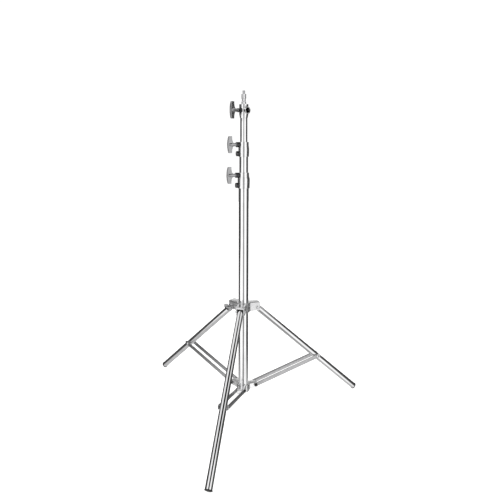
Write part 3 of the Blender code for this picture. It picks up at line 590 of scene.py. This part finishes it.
def collar_pieces(node, body, tube_radius, riser_radius, top_wall):
    low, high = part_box(node)
    height = high.z - low.z
    top = riser_radius + top_wall
    belly = tube_radius + COLLAR_BELLY_WALL
    foot = tube_radius + COLLAR_FOOT_WALL
    outer = [(top, height, 0.001), (top, height - COLLAR_SLOPE, 0.004),
             (belly, height - 1.7 * COLLAR_SLOPE, 0.005), (belly, height / 3, 0.008), (foot, 0, 0.0009)]
    inner = [(tube_radius + GAP, 0, 0.0005), (tube_radius + GAP, COLLAR_GRIP, 0),
             (riser_radius + GAP, COLLAR_GRIP, 0), (riser_radius + GAP, height, 0.0007)]
    skin = rounded(outer)[::-1, ::-1]
    knob_face = belly + KNOB_BOSS_PROUD
    fixing_face = belly + FIXING_BOSS_PROUD
    knob_boss = boss(skin, height - KNOB_BELOW_TOP,
                     holed_face(SCREW_R + GAP, KNOB_HOLE_DEPTH, KNOB_BOSS_R, knob_face, SOFT_EDGE),
                     KNOB_BOSS_R, blend=0.0022, ceiling=height - GAP, floor=riser_radius + 0.001)
    fixing_boss = boss(skin, FIXING_ABOVE_BOTTOM,
                       holed_face(FIXING_SCREW_R + GAP, FIXING_HOLE_DEPTH, FIXING_BOSS_R, fixing_face,
                                  SOFT_EDGE),
                       FIXING_BOSS_R, blend=0.0016, ceiling=height, floor=tube_radius + 0.001)
    # Painted shade: each boss is painted near black on its flank and in its hole, fading in over SOFT_EDGE
    # behind its face.
    for shaded_shape, face in ((knob_boss, knob_face), (fixing_boss, fixing_face)):
        painted_shade(shaded_shape, np.clip((face - vertices(shaded_shape)[:, 0]) / SOFT_EDGE, 0, 1))
    barrel = painted_shade(turned(rounded(outer + inner, closed=True), closed=True), 0)
    piece(node, [barrel, placed(knob_boss, turn_z(math.pi)), placed(fixing_boss, turn_z(math.pi))],
          raised(low.z), body, PLATED_FINISH)
    face = fixing_face - FIXING_RECESS
    place = outward(low.z + FIXING_ABOVE_BOTTOM, math.pi, face)
    socket_screw(node + "_fixing_screw", face - tube_radius - 2 * GAP, place, body)


def socket_screw(node, length, place, body):
    """A socket screw whose end is at height 0: a hexagon sunk into a face with a soft rim. The socket's
    profile is wider than the hexagon's corners, so all of it is drawn in to the flats."""
    rim, wide, over = FIXING_SCREW_R, HEX_HALF * 1.3, 0.001
    shank = turned(rounded([(0, 0, 0), (rim, 0, 0.0005), (rim, -length, 0.0004), (0, -length, 0)]), sides=72)
    socket = rounded([(0, -HEX_DEPTH, 0), (wide, -HEX_DEPTH, 0), (wide, over, 0), (0, over, 0)])
    piece(node, [carved(shank, hexed(socket, HEX_HALF))], place, body, DARK_FINISH)


collar_pieces("collar_1", "column", LOWER_R, RISER_2_R, COLLAR_1_TOP_WALL)
collar_pieces("collar_2", "riser_2", RISER_2_R, RISER_3_R, COLLAR_2_TOP_WALL)
print("collars made")

# %% [markdown]
# ## Wing knobs
# A wing knob is one casting: a crowned paddle, as deep as a fingertip is wide, on a round barrel that it
# runs into with a concave web. The paddle is a rounded rectangle carried along the span, and the
# barrel is turned. The steel screw behind it ends at the pad that it presses on, or at the spigot.

# %% Knobs
KNOB_SPAN = 0.057
KNOB_DEPTH = 0.0165
KNOB_THICKNESS = 0.0072
KNOB_LENGTH = 0.0305
KNOB_CROWN = 0.0045
KNOB_WEB = 0.0095
BARREL_R = 0.0056
BARREL_SHOULDER = 0.0012
KNOB_SCREW_HOLE = 0.002
KNOB_EDGE = 0.0011
SQUARENESS = 6.0


def wing():
    """The paddle. At a share s of the half span, its outer edge lies crown s^2 below the knob's end, and
    its inner edge lies web (1 - s)^3 below the paddle's depth. Each section is a superellipse,
    |y|^n + |z|^n = 1, and the last sections shrink by the edge's radius to round the tips."""
    half = KNOB_SPAN / 2
    q = np.linspace(0, np.pi / 2, 6)
    tip = half - KNOB_EDGE + KNOB_EDGE * np.sin(q)
    inner_span = np.linspace(0, half - KNOB_EDGE, 28)[:-1]
    across = np.concatenate([inner_span, tip])
    inset = np.concatenate([0 * inner_span, KNOB_EDGE * (1 - np.cos(q))])
    across = np.concatenate([-across[::-1], across[1:]])
    inset = np.concatenate([inset[::-1], inset[1:]])
    share = np.abs(across) / half
    top = KNOB_LENGTH - KNOB_CROWN * share ** 2 - inset
    bottom = KNOB_LENGTH - KNOB_DEPTH - KNOB_WEB * (1 - share) ** 3 + inset
    angle = circle(64)
    c, s = np.cos(angle), np.sin(angle)
    across_section = np.sign(c) * np.abs(c) ** (2 / SQUARENESS)
    up_section = np.sign(s) * np.abs(s) ** (2 / SQUARENESS)
    y = (KNOB_THICKNESS / 2 - inset)[:, None] * across_section
    z = ((top + bottom) / 2)[:, None] + ((top - bottom) / 2)[:, None] * up_section
    x = across[:, None] + 0 * y
    return grid(poled(np.stack([x, y, z], -1)))


def barrel():
    """The round barrel, wider where the web meets it, domed inside the paddle."""
    shoulder = KNOB_LENGTH - KNOB_DEPTH
    return turned(rounded([(0, KNOB_LENGTH - KNOB_CROWN, 0), (BARREL_R, KNOB_LENGTH - KNOB_CROWN, 0.003),
                           (BARREL_R + BARREL_SHOULDER, shoulder, 0.004),
                           (BARREL_R, shoulder - KNOB_WEB, 0.004), (BARREL_R, 0, 0.0005),
                           (SCREW_R + GAP, 0, 0.0003), (SCREW_R + GAP, KNOB_SCREW_HOLE, 0),
                           (0, KNOB_SCREW_HOLE, 0)]), sides=64)


def thread(radius, pitch, depth, bottom, top, sides=48):
    """A screw's thread: the radius falls by depth times a triangle wave of z / pitch - angle / 2 pi."""
    angle = circle(sides)
    height = np.linspace(bottom, top, int((top - bottom) / pitch * ROWS_PER_TURN))[:, None]
    wave = np.abs(((height / pitch - angle / (2 * np.pi)) % 1) * 2 - 1)
    near_end = np.minimum((top - height), (height - bottom)) / pitch
    full = np.minimum(radius - depth * wave, radius - depth * np.clip(1 - near_end, 0, 1))
    return grid(poled(np.stack([full * np.cos(angle), full * np.sin(angle), height + 0 * angle], -1)))


def knob_pieces(node, body, place, reach):
    """A knob whose face is at height 0 of its place, and the screw that runs back from it."""
    piece(node, [wing(), barrel()], place, body, KNOB_FINISH)
    screw = thread(SCREW_R, SCREW_PITCH, SCREW_THREAD_DEPTH, -reach, KNOB_SCREW_HOLE - 0.0002)
    piece(node + "_screw", [screw], place, body, STEEL_FINISH)


def middle_height(node):
    low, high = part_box(node)
    return (low.z + high.z) / 2


KNOB_GAP = 0.0006
PAD_OUT = 0.0033
HUB_BOSS_REACH = 0.036
HEAD_BOSS_REACH = 0.030
HUB_FACE = HUB_BOSS_REACH + KNOB_GAP
HEAD_FACE = HEAD_BOSS_REACH + KNOB_GAP
for number, riser_radius in ((1, RISER_2_R), (2, RISER_3_R)):
    node = f"collar_{number}_knob"
    face = COLUMN_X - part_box(node)[1].x
    knob_pieces(node, node, outward(middle_height(node), math.pi, face), face - riser_radius - PAD_OUT)
knob_pieces("hub_knob", "hub_knob", outward(middle_height("hub_knob"), math.pi, HUB_FACE, math.pi / 2),
            HUB_FACE - LOWER_R - PAD_OUT)
knob_pieces("head_knob", "head_knob", outward(middle_height("head_knob"), math.pi + HEAD_TURN, HEAD_FACE),
            HEAD_FACE - SPIGOT_R - 2 * GAP)
print("knobs made")

# %% [markdown]
# ## Leg hub
# The sliding hub is a star casting: a ring round the column with three forks, each a roof over two ears
# that hold a leg's pivot bolt. The fork is made as one block with soft outer edges, and the leg's
# slot is cut out of it, so the ears keep sharp inner edges as a milled slot has.

# %% Leg hub
HUB_WALL = 0.0062
HUB_TOP = 0.019
HUB_BOTTOM = 0.013
FORK_BOTTOM = 0.011
EAR_INNER, EAR_OUTER = 0.0116, 0.0146
FORK_REACH = 0.009
LEG_PIVOT_RADIUS = (pivot("leg_right_swing") - Vector((COLUMN_X, 0, HUB_HEIGHT))).length
HUB_KNOB_UP = middle_height("hub_knob") - HUB_HEIGHT
CAST_EDGE = 0.0011
RING_EDGE = 0.0013
RING_OVER_FORKS = 0.001
SLOT_DEPTH = 0.03
WEB_ROOT = (0.003, 0.001)
WEB_SUNK = 0.0001


def fork():
    """One fork: a rounded block with the leg's slot taken out of it. The slot is open below and round on
    top, where the leg's end swings."""
    start = LOWER_R + HUB_WALL / 2
    end = LEG_PIVOT_RADIUS + FORK_REACH
    swing = math.hypot(LEG_R, LEG_TOP_PAST_PIVOT) + 2 * GAP
    block = rounded([(start, HUB_TOP, 0.0004), (start, -FORK_BOTTOM, 0.0004),
                     (LEG_PIVOT_RADIUS, -FORK_BOTTOM, 0.0002), (end, -FORK_BOTTOM, 0.0088),
                     (end, HUB_TOP, 0.0022)], closed=True, steps=8)
    round_top = np.linspace(0, np.pi, 40)
    arch = np.stack([LEG_PIVOT_RADIUS + swing * np.cos(round_top), swing * np.sin(round_top)], -1)
    foot = np.array([(LEG_PIVOT_RADIUS - swing, -SLOT_DEPTH), (LEG_PIVOT_RADIUS + swing, -SLOT_DEPTH)])
    return carved(plate(block, 2 * EAR_OUTER, CAST_EDGE),
                  plate(np.concatenate([arch, foot]), 2 * EAR_INNER, 0.00005))


def webs(ring_radius, half_width, azimuth, fillet, bottom, top):
    """The fillets between a ring and an arm's two flanks: each is a hollow arc and a root inside the
    casting, carried up from bottom to top. The arc's ends are sunk a hair into the flank and the ring."""
    mid = np.array([math.sqrt(ring_radius ** 2 - half_width ** 2), half_width])
    along_flank = mid + (fillet, -WEB_SUNK)
    share = math.atan2(half_width, mid[0]) + fillet / ring_radius
    along_ring = (ring_radius - WEB_SUNK) * np.array([math.cos(share), math.sin(share)])
    t = np.linspace(0, 1, 10)[:, None]
    arc = (1 - t) ** 2 * along_flank + 2 * t * (1 - t) * mid + t ** 2 * along_ring
    outline = np.concatenate([arc, [mid - WEB_ROOT]])
    upright = Matrix(((1, 0, 0, 0), (0, 0, 1, 0), (0, 1, 0, 0), (0, 0, 0, 1)))
    height, middle = top - bottom, (top + bottom) / 2
    one, other = (placed(plate(outline, height, SOFT_EDGE, middle), upright) for _ in range(2))
    other.transform(Matrix.Diagonal((1, -1, 1, 1)))
    other.flip_normals()
    return [placed(shape, turn_z(azimuth)) for shape in (one, other)]


def leg_hub_pieces():
    outer = LOWER_R + HUB_WALL
    bore = LOWER_R + RUNNING_GAP
    top = HUB_TOP + RING_OVER_FORKS
    loop = [(outer, top, RING_EDGE), (outer, -HUB_BOTTOM, RING_EDGE), (bore, -HUB_BOTTOM, 0.0007),
            (bore, top, 0.0007)]
    shapes = [turned(rounded(loop, closed=True), closed=True)]
    for azimuth in SIDES.values():
        shapes.append(placed(fork(), turn_z(azimuth)))
        shapes += webs(outer, EAR_OUTER, azimuth, fillet=0.004, bottom=0.0005 - FORK_BOTTOM,
                       top=HUB_TOP - 0.0008)
    skin = np.array([(-HUB_BOTTOM, outer), (HUB_TOP, outer)])
    face = holed_face(SCREW_R + GAP, KNOB_HOLE_DEPTH, KNOB_BOSS_R, HUB_BOSS_REACH, SOFT_EDGE)
    knob_boss = boss(skin, HUB_KNOB_UP, face, KNOB_BOSS_R, blend=0.003, ceiling=HUB_TOP,
                     floor=LOWER_R + 0.002)
    shapes.append(placed(knob_boss, turn_z(math.pi)))
    piece("leg_hub", shapes, raised(HUB_HEIGHT), "leg_hub", CAST_FINISH)


leg_hub_pieces()
print("leg hub made")

# %% [markdown]
# ## Lower hub
# The column's foot has a ring with three lugs, and the struts' flat bars straddle the lugs. A lug hangs
# lower under its bolt than it rises over it. This casting is brighter than the leg hub.

# %% Lower hub
LUG_HALF_WIDTH = 0.0122
LUG_REACH = 0.009
LUG_TOP = 0.006
LUG_BOTTOM = 0.012
LOWER_HUB_WALL = 0.0052
LOWER_HUB_TOP = 0.0055
LOWER_HUB_BOTTOM = 0.0195
STRUT_PIVOT_RADIUS = (pivot("strut_right_swing") - Vector((COLUMN_X, 0, LOWER_HUB_HEIGHT))).length


def lower_hub_pieces():
    outer = LOWER_R + LOWER_HUB_WALL
    bore = LOWER_R + GAP
    loop = [(outer, LOWER_HUB_TOP, RING_EDGE), (outer, -LOWER_HUB_BOTTOM, RING_EDGE),
            (bore, -LOWER_HUB_BOTTOM, 0.0006), (bore, LOWER_HUB_TOP, 0.0006)]
    shapes = [turned(rounded(loop, closed=True), closed=True)]
    start = LOWER_R + LOWER_HUB_WALL / 2
    end = STRUT_PIVOT_RADIUS + LUG_REACH
    outline = rounded([(start, LUG_TOP, 0.0003), (start, -LUG_BOTTOM, 0.0003), (end, -LUG_BOTTOM, LUG_REACH),
                       (end, LUG_TOP, LUG_TOP)], closed=True, steps=14)
    for azimuth in SIDES.values():
        shapes.append(placed(plate(outline, 2 * LUG_HALF_WIDTH, CAST_EDGE), turn_z(azimuth)))
        shapes += webs(outer, LUG_HALF_WIDTH, azimuth, fillet=0.0035, bottom=0.0004 - LUG_BOTTOM,
                       top=LOWER_HUB_TOP - 0.0004)
    piece("lower_hub", shapes, raised(LOWER_HUB_HEIGHT), "column", HUB_FINISH)


lower_hub_pieces()
print("lower hub made")

# %% [markdown]
# ## Struts, bolts and rivets
# Each strut is a pair of flat bars with round ends. A pivot bolt has a domed head at one side and a
# hexagon nut with its bolt's end showing at the other. The rivets at the bars' tips have thick collars
# that lie beside the leg.

# %% Struts and fasteners
BAR_WIDTH = 0.0144
BAR_THICKNESS = 0.0025
BAR_INNER = LUG_HALF_WIDTH + GAP
BAR_OUTER = BAR_INNER + BAR_THICKNESS
BAR_PAST_LEG = 0.006
BOLT_HEAD_R = 0.0055
BOLT_HEAD_HEIGHT = 0.0034
NUT_HEIGHT = 0.0024
NUT_HALF_ACROSS = 0.0047
RIVET_HEAD_R = 0.0048
RIVET_HEAD_HEIGHT = 0.0026


def capsule(length, half, steps=16):
    """The outline of a bar with round ends, from a centre at 0 to one at the given length."""
    lower = np.linspace(np.pi, 2 * np.pi, steps)
    upper = np.linspace(0, np.pi, steps)
    foot = np.stack([half * np.cos(lower), half * np.sin(lower)], -1)
    tip = np.stack([half * np.cos(upper), length + half * np.sin(upper)], -1)
    return np.concatenate([foot, tip])


def dome(radius, start, height, steps=8):
    """Points (radius, height) over a low dome that starts with a short straight rim."""
    q = np.linspace(0, np.pi / 2, steps)
    rim = height / 3
    return np.stack([radius * np.cos(q), start + rim + (height - rim) * np.sin(q)], -1)


def bolt_pieces(node, half_width, body, place, finish):
    """A pivot bolt across its leg's plane: +Z is the domed head's side and -Z the nut's."""
    grip = half_width + GAP
    end, inside_head = -grip - BOLT_HEAD_HEIGHT, grip + 0.0005
    chamfer = 0.0004
    head = np.concatenate([[(0, grip), (BOLT_HEAD_R, grip)], dome(BOLT_HEAD_R, grip, BOLT_HEAD_HEIGHT)])
    shank = np.array([(0, end), (BOLT_R - chamfer, end), (BOLT_R, end + chamfer), (BOLT_R, inside_head),
                      (0, inside_head)])
    nut_low = -grip - NUT_HEIGHT
    nut = rounded([(0, -grip, 0), (BOLT_HEAD_R, -grip, 0.0002), (BOLT_HEAD_R, nut_low, 0.0005),
                   (NUT_HALF_ACROSS - 0.0002, nut_low - 0.0003, 0), (0, nut_low - 0.0003, 0)])
    shapes = [turned(head, sides=48), turned(shank, sides=32), hexed(nut, NUT_HALF_ACROSS)]
    piece(node, shapes, place, body, finish)


def strut_pieces(side):
    """A strut's two bars and the rivets at their tips."""
    body = "strut_" + side
    place = strut_place(side)
    length = strut_run(side)[0]
    middle = (BAR_INNER + BAR_OUTER) / 2
    spacer = LEG_R + GAP
    inner_face = BAR_INNER - GAP
    for letter, sign in (("a", -1), ("b", 1)):
        bar = plate(capsule(length + BAR_PAST_LEG, BAR_WIDTH / 2), BAR_THICKNESS, 0.0005, sign * middle)
        piece(f"strut_bar_{side}_{letter}", [bar], place, body, STRIP_FINISH)
        head = np.concatenate([[(0, spacer), (RIVET_HEAD_R, spacer), (RIVET_HEAD_R, inner_face),
                                (RIVET_R, inner_face), (RIVET_R, BAR_OUTER + GAP),
                                (RIVET_HEAD_R, BAR_OUTER + GAP)],
                               dome(RIVET_HEAD_R, BAR_OUTER + GAP, RIVET_HEAD_HEIGHT)])
        tip = place @ Matrix.Translation((0, 0, length)) @ turn_x(-sign * math.pi / 2)
        piece(f"strut_rivet_{side}_{letter}", [turned(head, sides=48)], tip, body, STEEL_FINISH)


for side, azimuth in SIDES.items():
    strut_pieces(side)
    lying = turn_z(azimuth) @ turn_x(math.pi / 2)
    bolt_pieces("leg_pivot_bolt_" + side, EAR_OUTER, "leg_hub",
                Matrix.Translation(pivot(f"leg_{side}_swing")) @ lying, STEEL_FINISH)
    # Painted shade: the strut pivot bolts are blackened partly to stand in for the shade in the gaps between
    # the bars and the lugs.
    bolt_pieces("strut_pivot_bolt_" + side, BAR_OUTER, "column",
                Matrix.Translation(pivot(f"strut_{side}_swing")) @ lying, DARK_FINISH)
print("struts and fasteners made")

# %% [markdown]
# ## Head and spigot
# The head is a casting that plugs into the top tube. It has an upright socket for the spigot and a
# second, level one in a boss at the side, and a slim boss carries the knob's screw. The spigot is
# turned steel with a waist, where the screw bites, and a threaded stud on top.

# %% Head and spigot
HEAD_HEIGHT = 0.047
HEAD_CONE = 0.015
HEAD_R = 0.0158
SPIGOT_IN_HEAD = 0.058
SPIGOT_SHOWN = 0.034
STUD_LENGTH = 0.012
SIDE_SOCKET_R = 0.0082
SIDE_BOSS_R = 0.0118
SIDE_BOSS_REACH = 0.0212
SIDE_HEIGHT = 0.026
SIDE_LEAD_IN = 0.0016
SOCKET_LEAD_IN = 0.0018
SOCKET_FLOOR = 0.0026
SIDE_BORE_LENGTH = 0.03
NECK_TOP_R = 0.0094
NECK_START = 0.0008
NECK_LEAN = 0.0106
NECK_CURVE = 1.3
WAIST_DEPTH = 0.0014
WAIST_SLOPE = 0.0012
HEAD_KNOB_BOSS_R = 0.0068
HEAD_BASE = middle_height("head_knob") - SIDE_HEIGHT


def side_neck():
    """The foot under the side socket: circles that rise from the cone's edge and lean out to the boss."""
    angle = circle(72)
    t = np.linspace(0, 1, 14)[:, None]
    radius = (RISER_3_R - 0.0002) * (1 - t) + NECK_TOP_R * t
    out = NECK_LEAN * t ** NECK_CURVE
    up = NECK_START + (SIDE_HEIGHT + 0.001) * t
    return grid(poled(np.stack([radius * np.cos(angle), radius * np.sin(angle) - out, up + 0 * angle], -1)))


def head_pieces():
    tenon = RISER_3_R - TUBE_WALL - GAP
    socket = SPIGOT_R + RUNNING_GAP
    tenon_bottom = HEAD_HEIGHT - SPIGOT_IN_HEAD - SOCKET_FLOOR
    socket_bottom = HEAD_HEIGHT - SPIGOT_IN_HEAD - GAP
    outer = [(HEAD_R, HEAD_HEIGHT, 0.0012), (HEAD_R, HEAD_CONE, 0.003), (RISER_3_R + 0.0006, 0, 0.0005)]
    profile = rounded([(0, tenon_bottom, 0), (tenon, tenon_bottom, 0.0008), (tenon, 0, 0)] + outer[::-1] +
                      [(socket + SOCKET_LEAD_IN, HEAD_HEIGHT, 0.0004),
                       (socket, HEAD_HEIGHT - SOCKET_LEAD_IN, 0.0004), (socket, socket_bottom, 0),
                       (0, socket_bottom, 0)])
    bore = turned(np.array([(0, -SIDE_BORE_LENGTH), (SIDE_SOCKET_R, -SIDE_BORE_LENGTH), (SIDE_SOCKET_R, 0.0),
                            (0, 0.0)]), sides=72)
    bore.transform(Matrix.Translation((0, 0, SIDE_HEIGHT)) @ turn_x(-math.pi / 2))
    shell = carved(turned(profile), bore)
    core = socket + 0.001
    core = turned(np.array([(0, -0.02), (core, -0.02), (core, 0.06), (0, 0.06)]), sides=64)
    neck = carved(carved(side_neck(), bore), core)
    start = socket + 0.0012
    loop = [(SIDE_BOSS_R, SIDE_BOSS_REACH, 0.001), (SIDE_BOSS_R, start, 0.0002),
            (SIDE_SOCKET_R, start, 0.0002), (SIDE_SOCKET_R, SIDE_BOSS_REACH - SIDE_LEAD_IN, 0.0003),
            (SIDE_SOCKET_R + SIDE_LEAD_IN, SIDE_BOSS_REACH, 0.0003)]
    ring = turned(rounded(loop, closed=True), closed=True, sides=80)
    ring.transform(Matrix.Translation((0, 0, SIDE_HEIGHT)) @ turn_x(math.pi / 2))
    skin = rounded(outer)[::-1, ::-1]
    face = holed_face(SCREW_R + GAP, KNOB_HOLE_DEPTH, HEAD_KNOB_BOSS_R, HEAD_BOSS_REACH, SOFT_EDGE)
    knob_boss = boss(skin, SIDE_HEIGHT, face, HEAD_KNOB_BOSS_R, blend=0.0028, ceiling=HEAD_HEIGHT,
                     floor=0.0105)
    # Painted shade: the inside of the side bore and the knob boss's flank and hole are painted near black.
    for shaded_shape in (shell, neck, ring):
        point = vertices(shaded_shape)
        from_axis = np.hypot(point[:, 0], point[:, 2] - SIDE_HEIGHT)
        painted_shade(shaded_shape, (from_axis < SIDE_SOCKET_R + GAP) & (point[:, 1] < 0))
    painted_shade(knob_boss, np.clip((HEAD_BOSS_REACH - vertices(knob_boss)[:, 0]) / SOFT_EDGE, 0, 1))
    shapes = [shell, neck, ring, placed(knob_boss, turn_z(math.pi))]
    piece("head", shapes, raised(HEAD_BASE, HEAD_TURN), "riser_3", PLATED_FINISH)


def spigot_pieces():
    shoulder = HEAD_HEIGHT + SPIGOT_SHOWN
    bottom = HEAD_HEIGHT - SPIGOT_IN_HEAD
    waist = SPIGOT_R - WAIST_DEPTH
    top_waist, low_waist = HEAD_HEIGHT + SPIGOT_SHOWN / 2, HEAD_HEIGHT + SPIGOT_SHOWN / 4
    bar = turned(rounded([(0, shoulder, 0), (SPIGOT_R, shoulder, 0.0006),
                          (SPIGOT_R, top_waist + WAIST_SLOPE, 0.0003), (waist, top_waist, 0.0003),
                          (waist, low_waist + WAIST_SLOPE, 0.0003), (SPIGOT_R, low_waist, 0.0003),
                          (SPIGOT_R, bottom, 0.0012), (0, bottom, 0)]))
    stud = thread(STUD_R, STUD_PITCH, STUD_THREAD_DEPTH, shoulder - 0.0004, shoulder + STUD_LENGTH,
                  sides=72)
    piece("spigot", [bar, stud], raised(HEAD_BASE, HEAD_TURN), "spigot", STEEL_FINISH)


head_pieces()
spigot_pieces()
print("head and spigot made")

# %% [markdown]
# ## What stays as it is
# The pads and bushes are hidden inside the castings and tubes, so nothing replaces their solids, and
# these only get the nylon finish.

# %% Hidden nylon pieces
for name, solid in frame["nodes"].items():
    if not solid.hide_render:
        for material_slot in solid.material_slots:
            material_slot.material = NYLON_FINISH
        print("kept:", name)

# %% [markdown]
# ## Camera, floor and light
# The photograph is taken a little to the right of the front leg, from a little above the lock
# collars. The room is white, with a dark wall behind the stand, dark patches overhead and a dark slit
# behind the camera, because polished tubes only look round when they have something dark to reflect.

# %% Camera
CAMERA_TURN = 0.2931
CAMERA_DISTANCE = 1.6432
CAMERA_OFFSET = 0.0322
CAMERA_HEIGHT = 0.944
CAMERA_PITCH = 0.1
FOCAL_PIXELS = 479.888
IMAGE_PIXELS = 500
PRINCIPAL_POINT = (234.307, 190.734)
SENSOR = 36.0

forward = Vector((math.sin(CAMERA_TURN), math.cos(CAMERA_TURN), 0))
right = Vector((math.cos(CAMERA_TURN), -math.sin(CAMERA_TURN), 0))
lens = bpy.data.cameras.new("camera")
camera = bpy.data.objects.new("camera", lens)
bpy.context.scene.collection.objects.link(camera)
bpy.context.scene.camera = camera
camera.location = Vector((COLUMN_X, 0, CAMERA_HEIGHT)) - CAMERA_DISTANCE * forward - CAMERA_OFFSET * right
camera.rotation_euler = (math.pi / 2 - CAMERA_PITCH, 0, -CAMERA_TURN)
lens.sensor_width = SENSOR
lens.lens = FOCAL_PIXELS / IMAGE_PIXELS * SENSOR
lens.shift_x = 0.5 - PRINCIPAL_POINT[0] / IMAGE_PIXELS
lens.shift_y = PRINCIPAL_POINT[1] / IMAGE_PIXELS - 0.5

# %% Floor
FLOOR_RADIUS = 6.0
FLOOR_THICKNESS = 0.02
FLOOR_GLOW = 0.85


def floor():
    """A round, pale floor with a faint mottle. It glows a little, as a floor in a bright studio does, and
    the metal doesn't reflect it."""
    edge = [(FLOOR_RADIUS, 0), (FLOOR_RADIUS, -FLOOR_THICKNESS)]
    mesh = turned(np.array([(0, 0)] + edge + [(0, -FLOOR_THICKNESS)]), sides=64)
    finish, tree, shader = new_finish("pale_floor", 0.0)
    mottle = noise(tree, "Object", 3.0)
    dress(tree, shader, ramp(tree, mottle, (0.90, 0.90, 0.90), (0.92, 0.92, 0.92)),
          spread(tree, mottle, 0.75, 0.85), bump(tree, mottle, 0.0001))
    shader.inputs["Emission Color"].default_value = (1, 1, 1, 1)
    shader.inputs["Emission Strength"].default_value = FLOOR_GLOW
    mesh.materials.append(finish)
    thing = bpy.data.objects.new("floor", mesh)
    bpy.context.scene.collection.objects.link(thing)
    thing.visible_glossy = False


floor()

# %% Room light
ROOM_STRENGTH = 1.3
BACKDROP_STRENGTH = 1.05


def toward(ahead, aside, up):
    """A direction as the camera has it: ahead of it, to its right and up."""
    return tuple(ahead * forward + aside * right + Vector((0, 0, up)))


WINDOW, OVERHEAD, LINTEL = toward(0.92, 0, 0.4), toward(-0.43, 0.12, 0.89), toward(0.66, 0.05, 0.75)
WALL_EDGE, FLOOR_EDGE, CEILING_EDGE = (-0.52, -0.25), (-0.65, -0.45), (0.36, 0.55)
WINDOW_EDGE, OVERHEAD_EDGE, LINTEL_EDGE = (0.82, 0.93), (0.85, 0.95), (0.87, 0.94)
SLIT_EDGE, SLIT_DEPTH_EDGE = (0.0, 0.5), (-0.5, -0.1)
SHIFT_EDGE, SHIFT_SIDE_EDGE, WALL_SHIFT = (-0.1, -0.3), (-0.8, -0.5), 0.3
WALL_DARK, FLOOR_DARK, OVERHEAD_DARK, LINTEL_DARK, SLIT_DARK = 0.94, 0.5, 0.97, 0.75, 0.85
DARK_ABOVE_WALL, DARK_IN_WINDOW = 0.15, 0.25


def maths(tree, operation, first, second=None):
    """The output of a Math node; each input is a socket or a plain number."""
    node = tree.nodes.new("ShaderNodeMath")
    node.operation = operation
    for socket, value in zip(node.inputs, (first, second)):
        if isinstance(value, bpy.types.NodeSocket):
            tree.links.new(value, socket)
        elif value is not None:
            socket.default_value = value
    return node.outputs["Value"]


def along(tree, direction, axis):
    """How far a direction points along an axis, from -1 to 1."""
    node = tree.nodes.new("ShaderNodeVectorMath")
    node.operation = "DOT_PRODUCT"
    node.inputs[1].default_value = axis
    tree.links.new(direction, node.inputs[0])
    return node.outputs["Value"]


def room():
    """White to the camera. To everything else it is a white room with soft dark parts, each a zone of
    directions: the wall behind the stand, which ends farther back low on the left and has a window of
    light; the floor at that wall; a patch overhead and one over the window; a slit behind the camera."""
    world = bpy.data.worlds.new("room")
    world.use_nodes = True
    bpy.context.scene.world = world
    tree = world.node_tree
    tree.nodes.clear()
    where = tree.nodes.new("ShaderNodeTexCoord").outputs["Generated"]
    depth, sideways = along(tree, where, tuple(forward)), along(tree, where, tuple(right))
    up = along(tree, where, (0, 0, 1))
    shift = maths(tree, "MULTIPLY", fade(tree, up, SHIFT_EDGE, 0.0, WALL_SHIFT),
                  fade(tree, sideways, SHIFT_SIDE_EDGE, 1.0, 0.0))
    behind = fade(tree, maths(tree, "SUBTRACT", depth, shift), WALL_EDGE, 0.0, WALL_DARK)
    for part in (fade(tree, up, FLOOR_EDGE, 0.0, 1.0), fade(tree, up, CEILING_EDGE, 1.0, DARK_ABOVE_WALL),
                 fade(tree, along(tree, where, WINDOW), WINDOW_EDGE, 1.0, DARK_IN_WINDOW)):
        behind = maths(tree, "MULTIPLY", behind, part)
    floor_behind = maths(tree, "MULTIPLY", fade(tree, up, FLOOR_EDGE, 1.0, 0.0),
                         fade(tree, depth, WALL_EDGE, 0.0, FLOOR_DARK))
    overhead = fade(tree, along(tree, where, OVERHEAD), OVERHEAD_EDGE, 0.0, OVERHEAD_DARK)
    lintel = fade(tree, along(tree, where, LINTEL), LINTEL_EDGE, 0.0, LINTEL_DARK)
    slit = maths(tree, "MULTIPLY", fade(tree, maths(tree, "ABSOLUTE", sideways), SLIT_EDGE, SLIT_DARK, 0.0),
                 fade(tree, depth, SLIT_DEPTH_EDGE, 1.0, 0.0))
    light = maths(tree, "SUBTRACT", 1.0, behind)
    for dark in (floor_behind, overhead, lintel, slit):
        light = maths(tree, "MULTIPLY", light, maths(tree, "SUBTRACT", 1.0, dark))
    lit = tree.nodes.new("ShaderNodeBackground")
    lit.inputs["Strength"].default_value = ROOM_STRENGTH
    tree.links.new(light, lit.inputs["Color"])
    seen = tree.nodes.new("ShaderNodeBackground")
    seen.inputs["Color"].default_value = (1, 1, 1, 1)
    seen.inputs["Strength"].default_value = BACKDROP_STRENGTH
    path = tree.nodes.new("ShaderNodeLightPath")
    mix = tree.nodes.new("ShaderNodeMixShader")
    tree.links.new(path.outputs["Is Camera Ray"], mix.inputs["Fac"])
    tree.links.new(lit.outputs["Background"], mix.inputs[1])
    tree.links.new(seen.outputs["Background"], mix.inputs[2])
    output = tree.nodes.new("ShaderNodeOutputWorld")
    tree.links.new(mix.outputs["Shader"], output.inputs["Surface"])


room()
bpy.context.scene.view_settings.view_transform = "Standard"
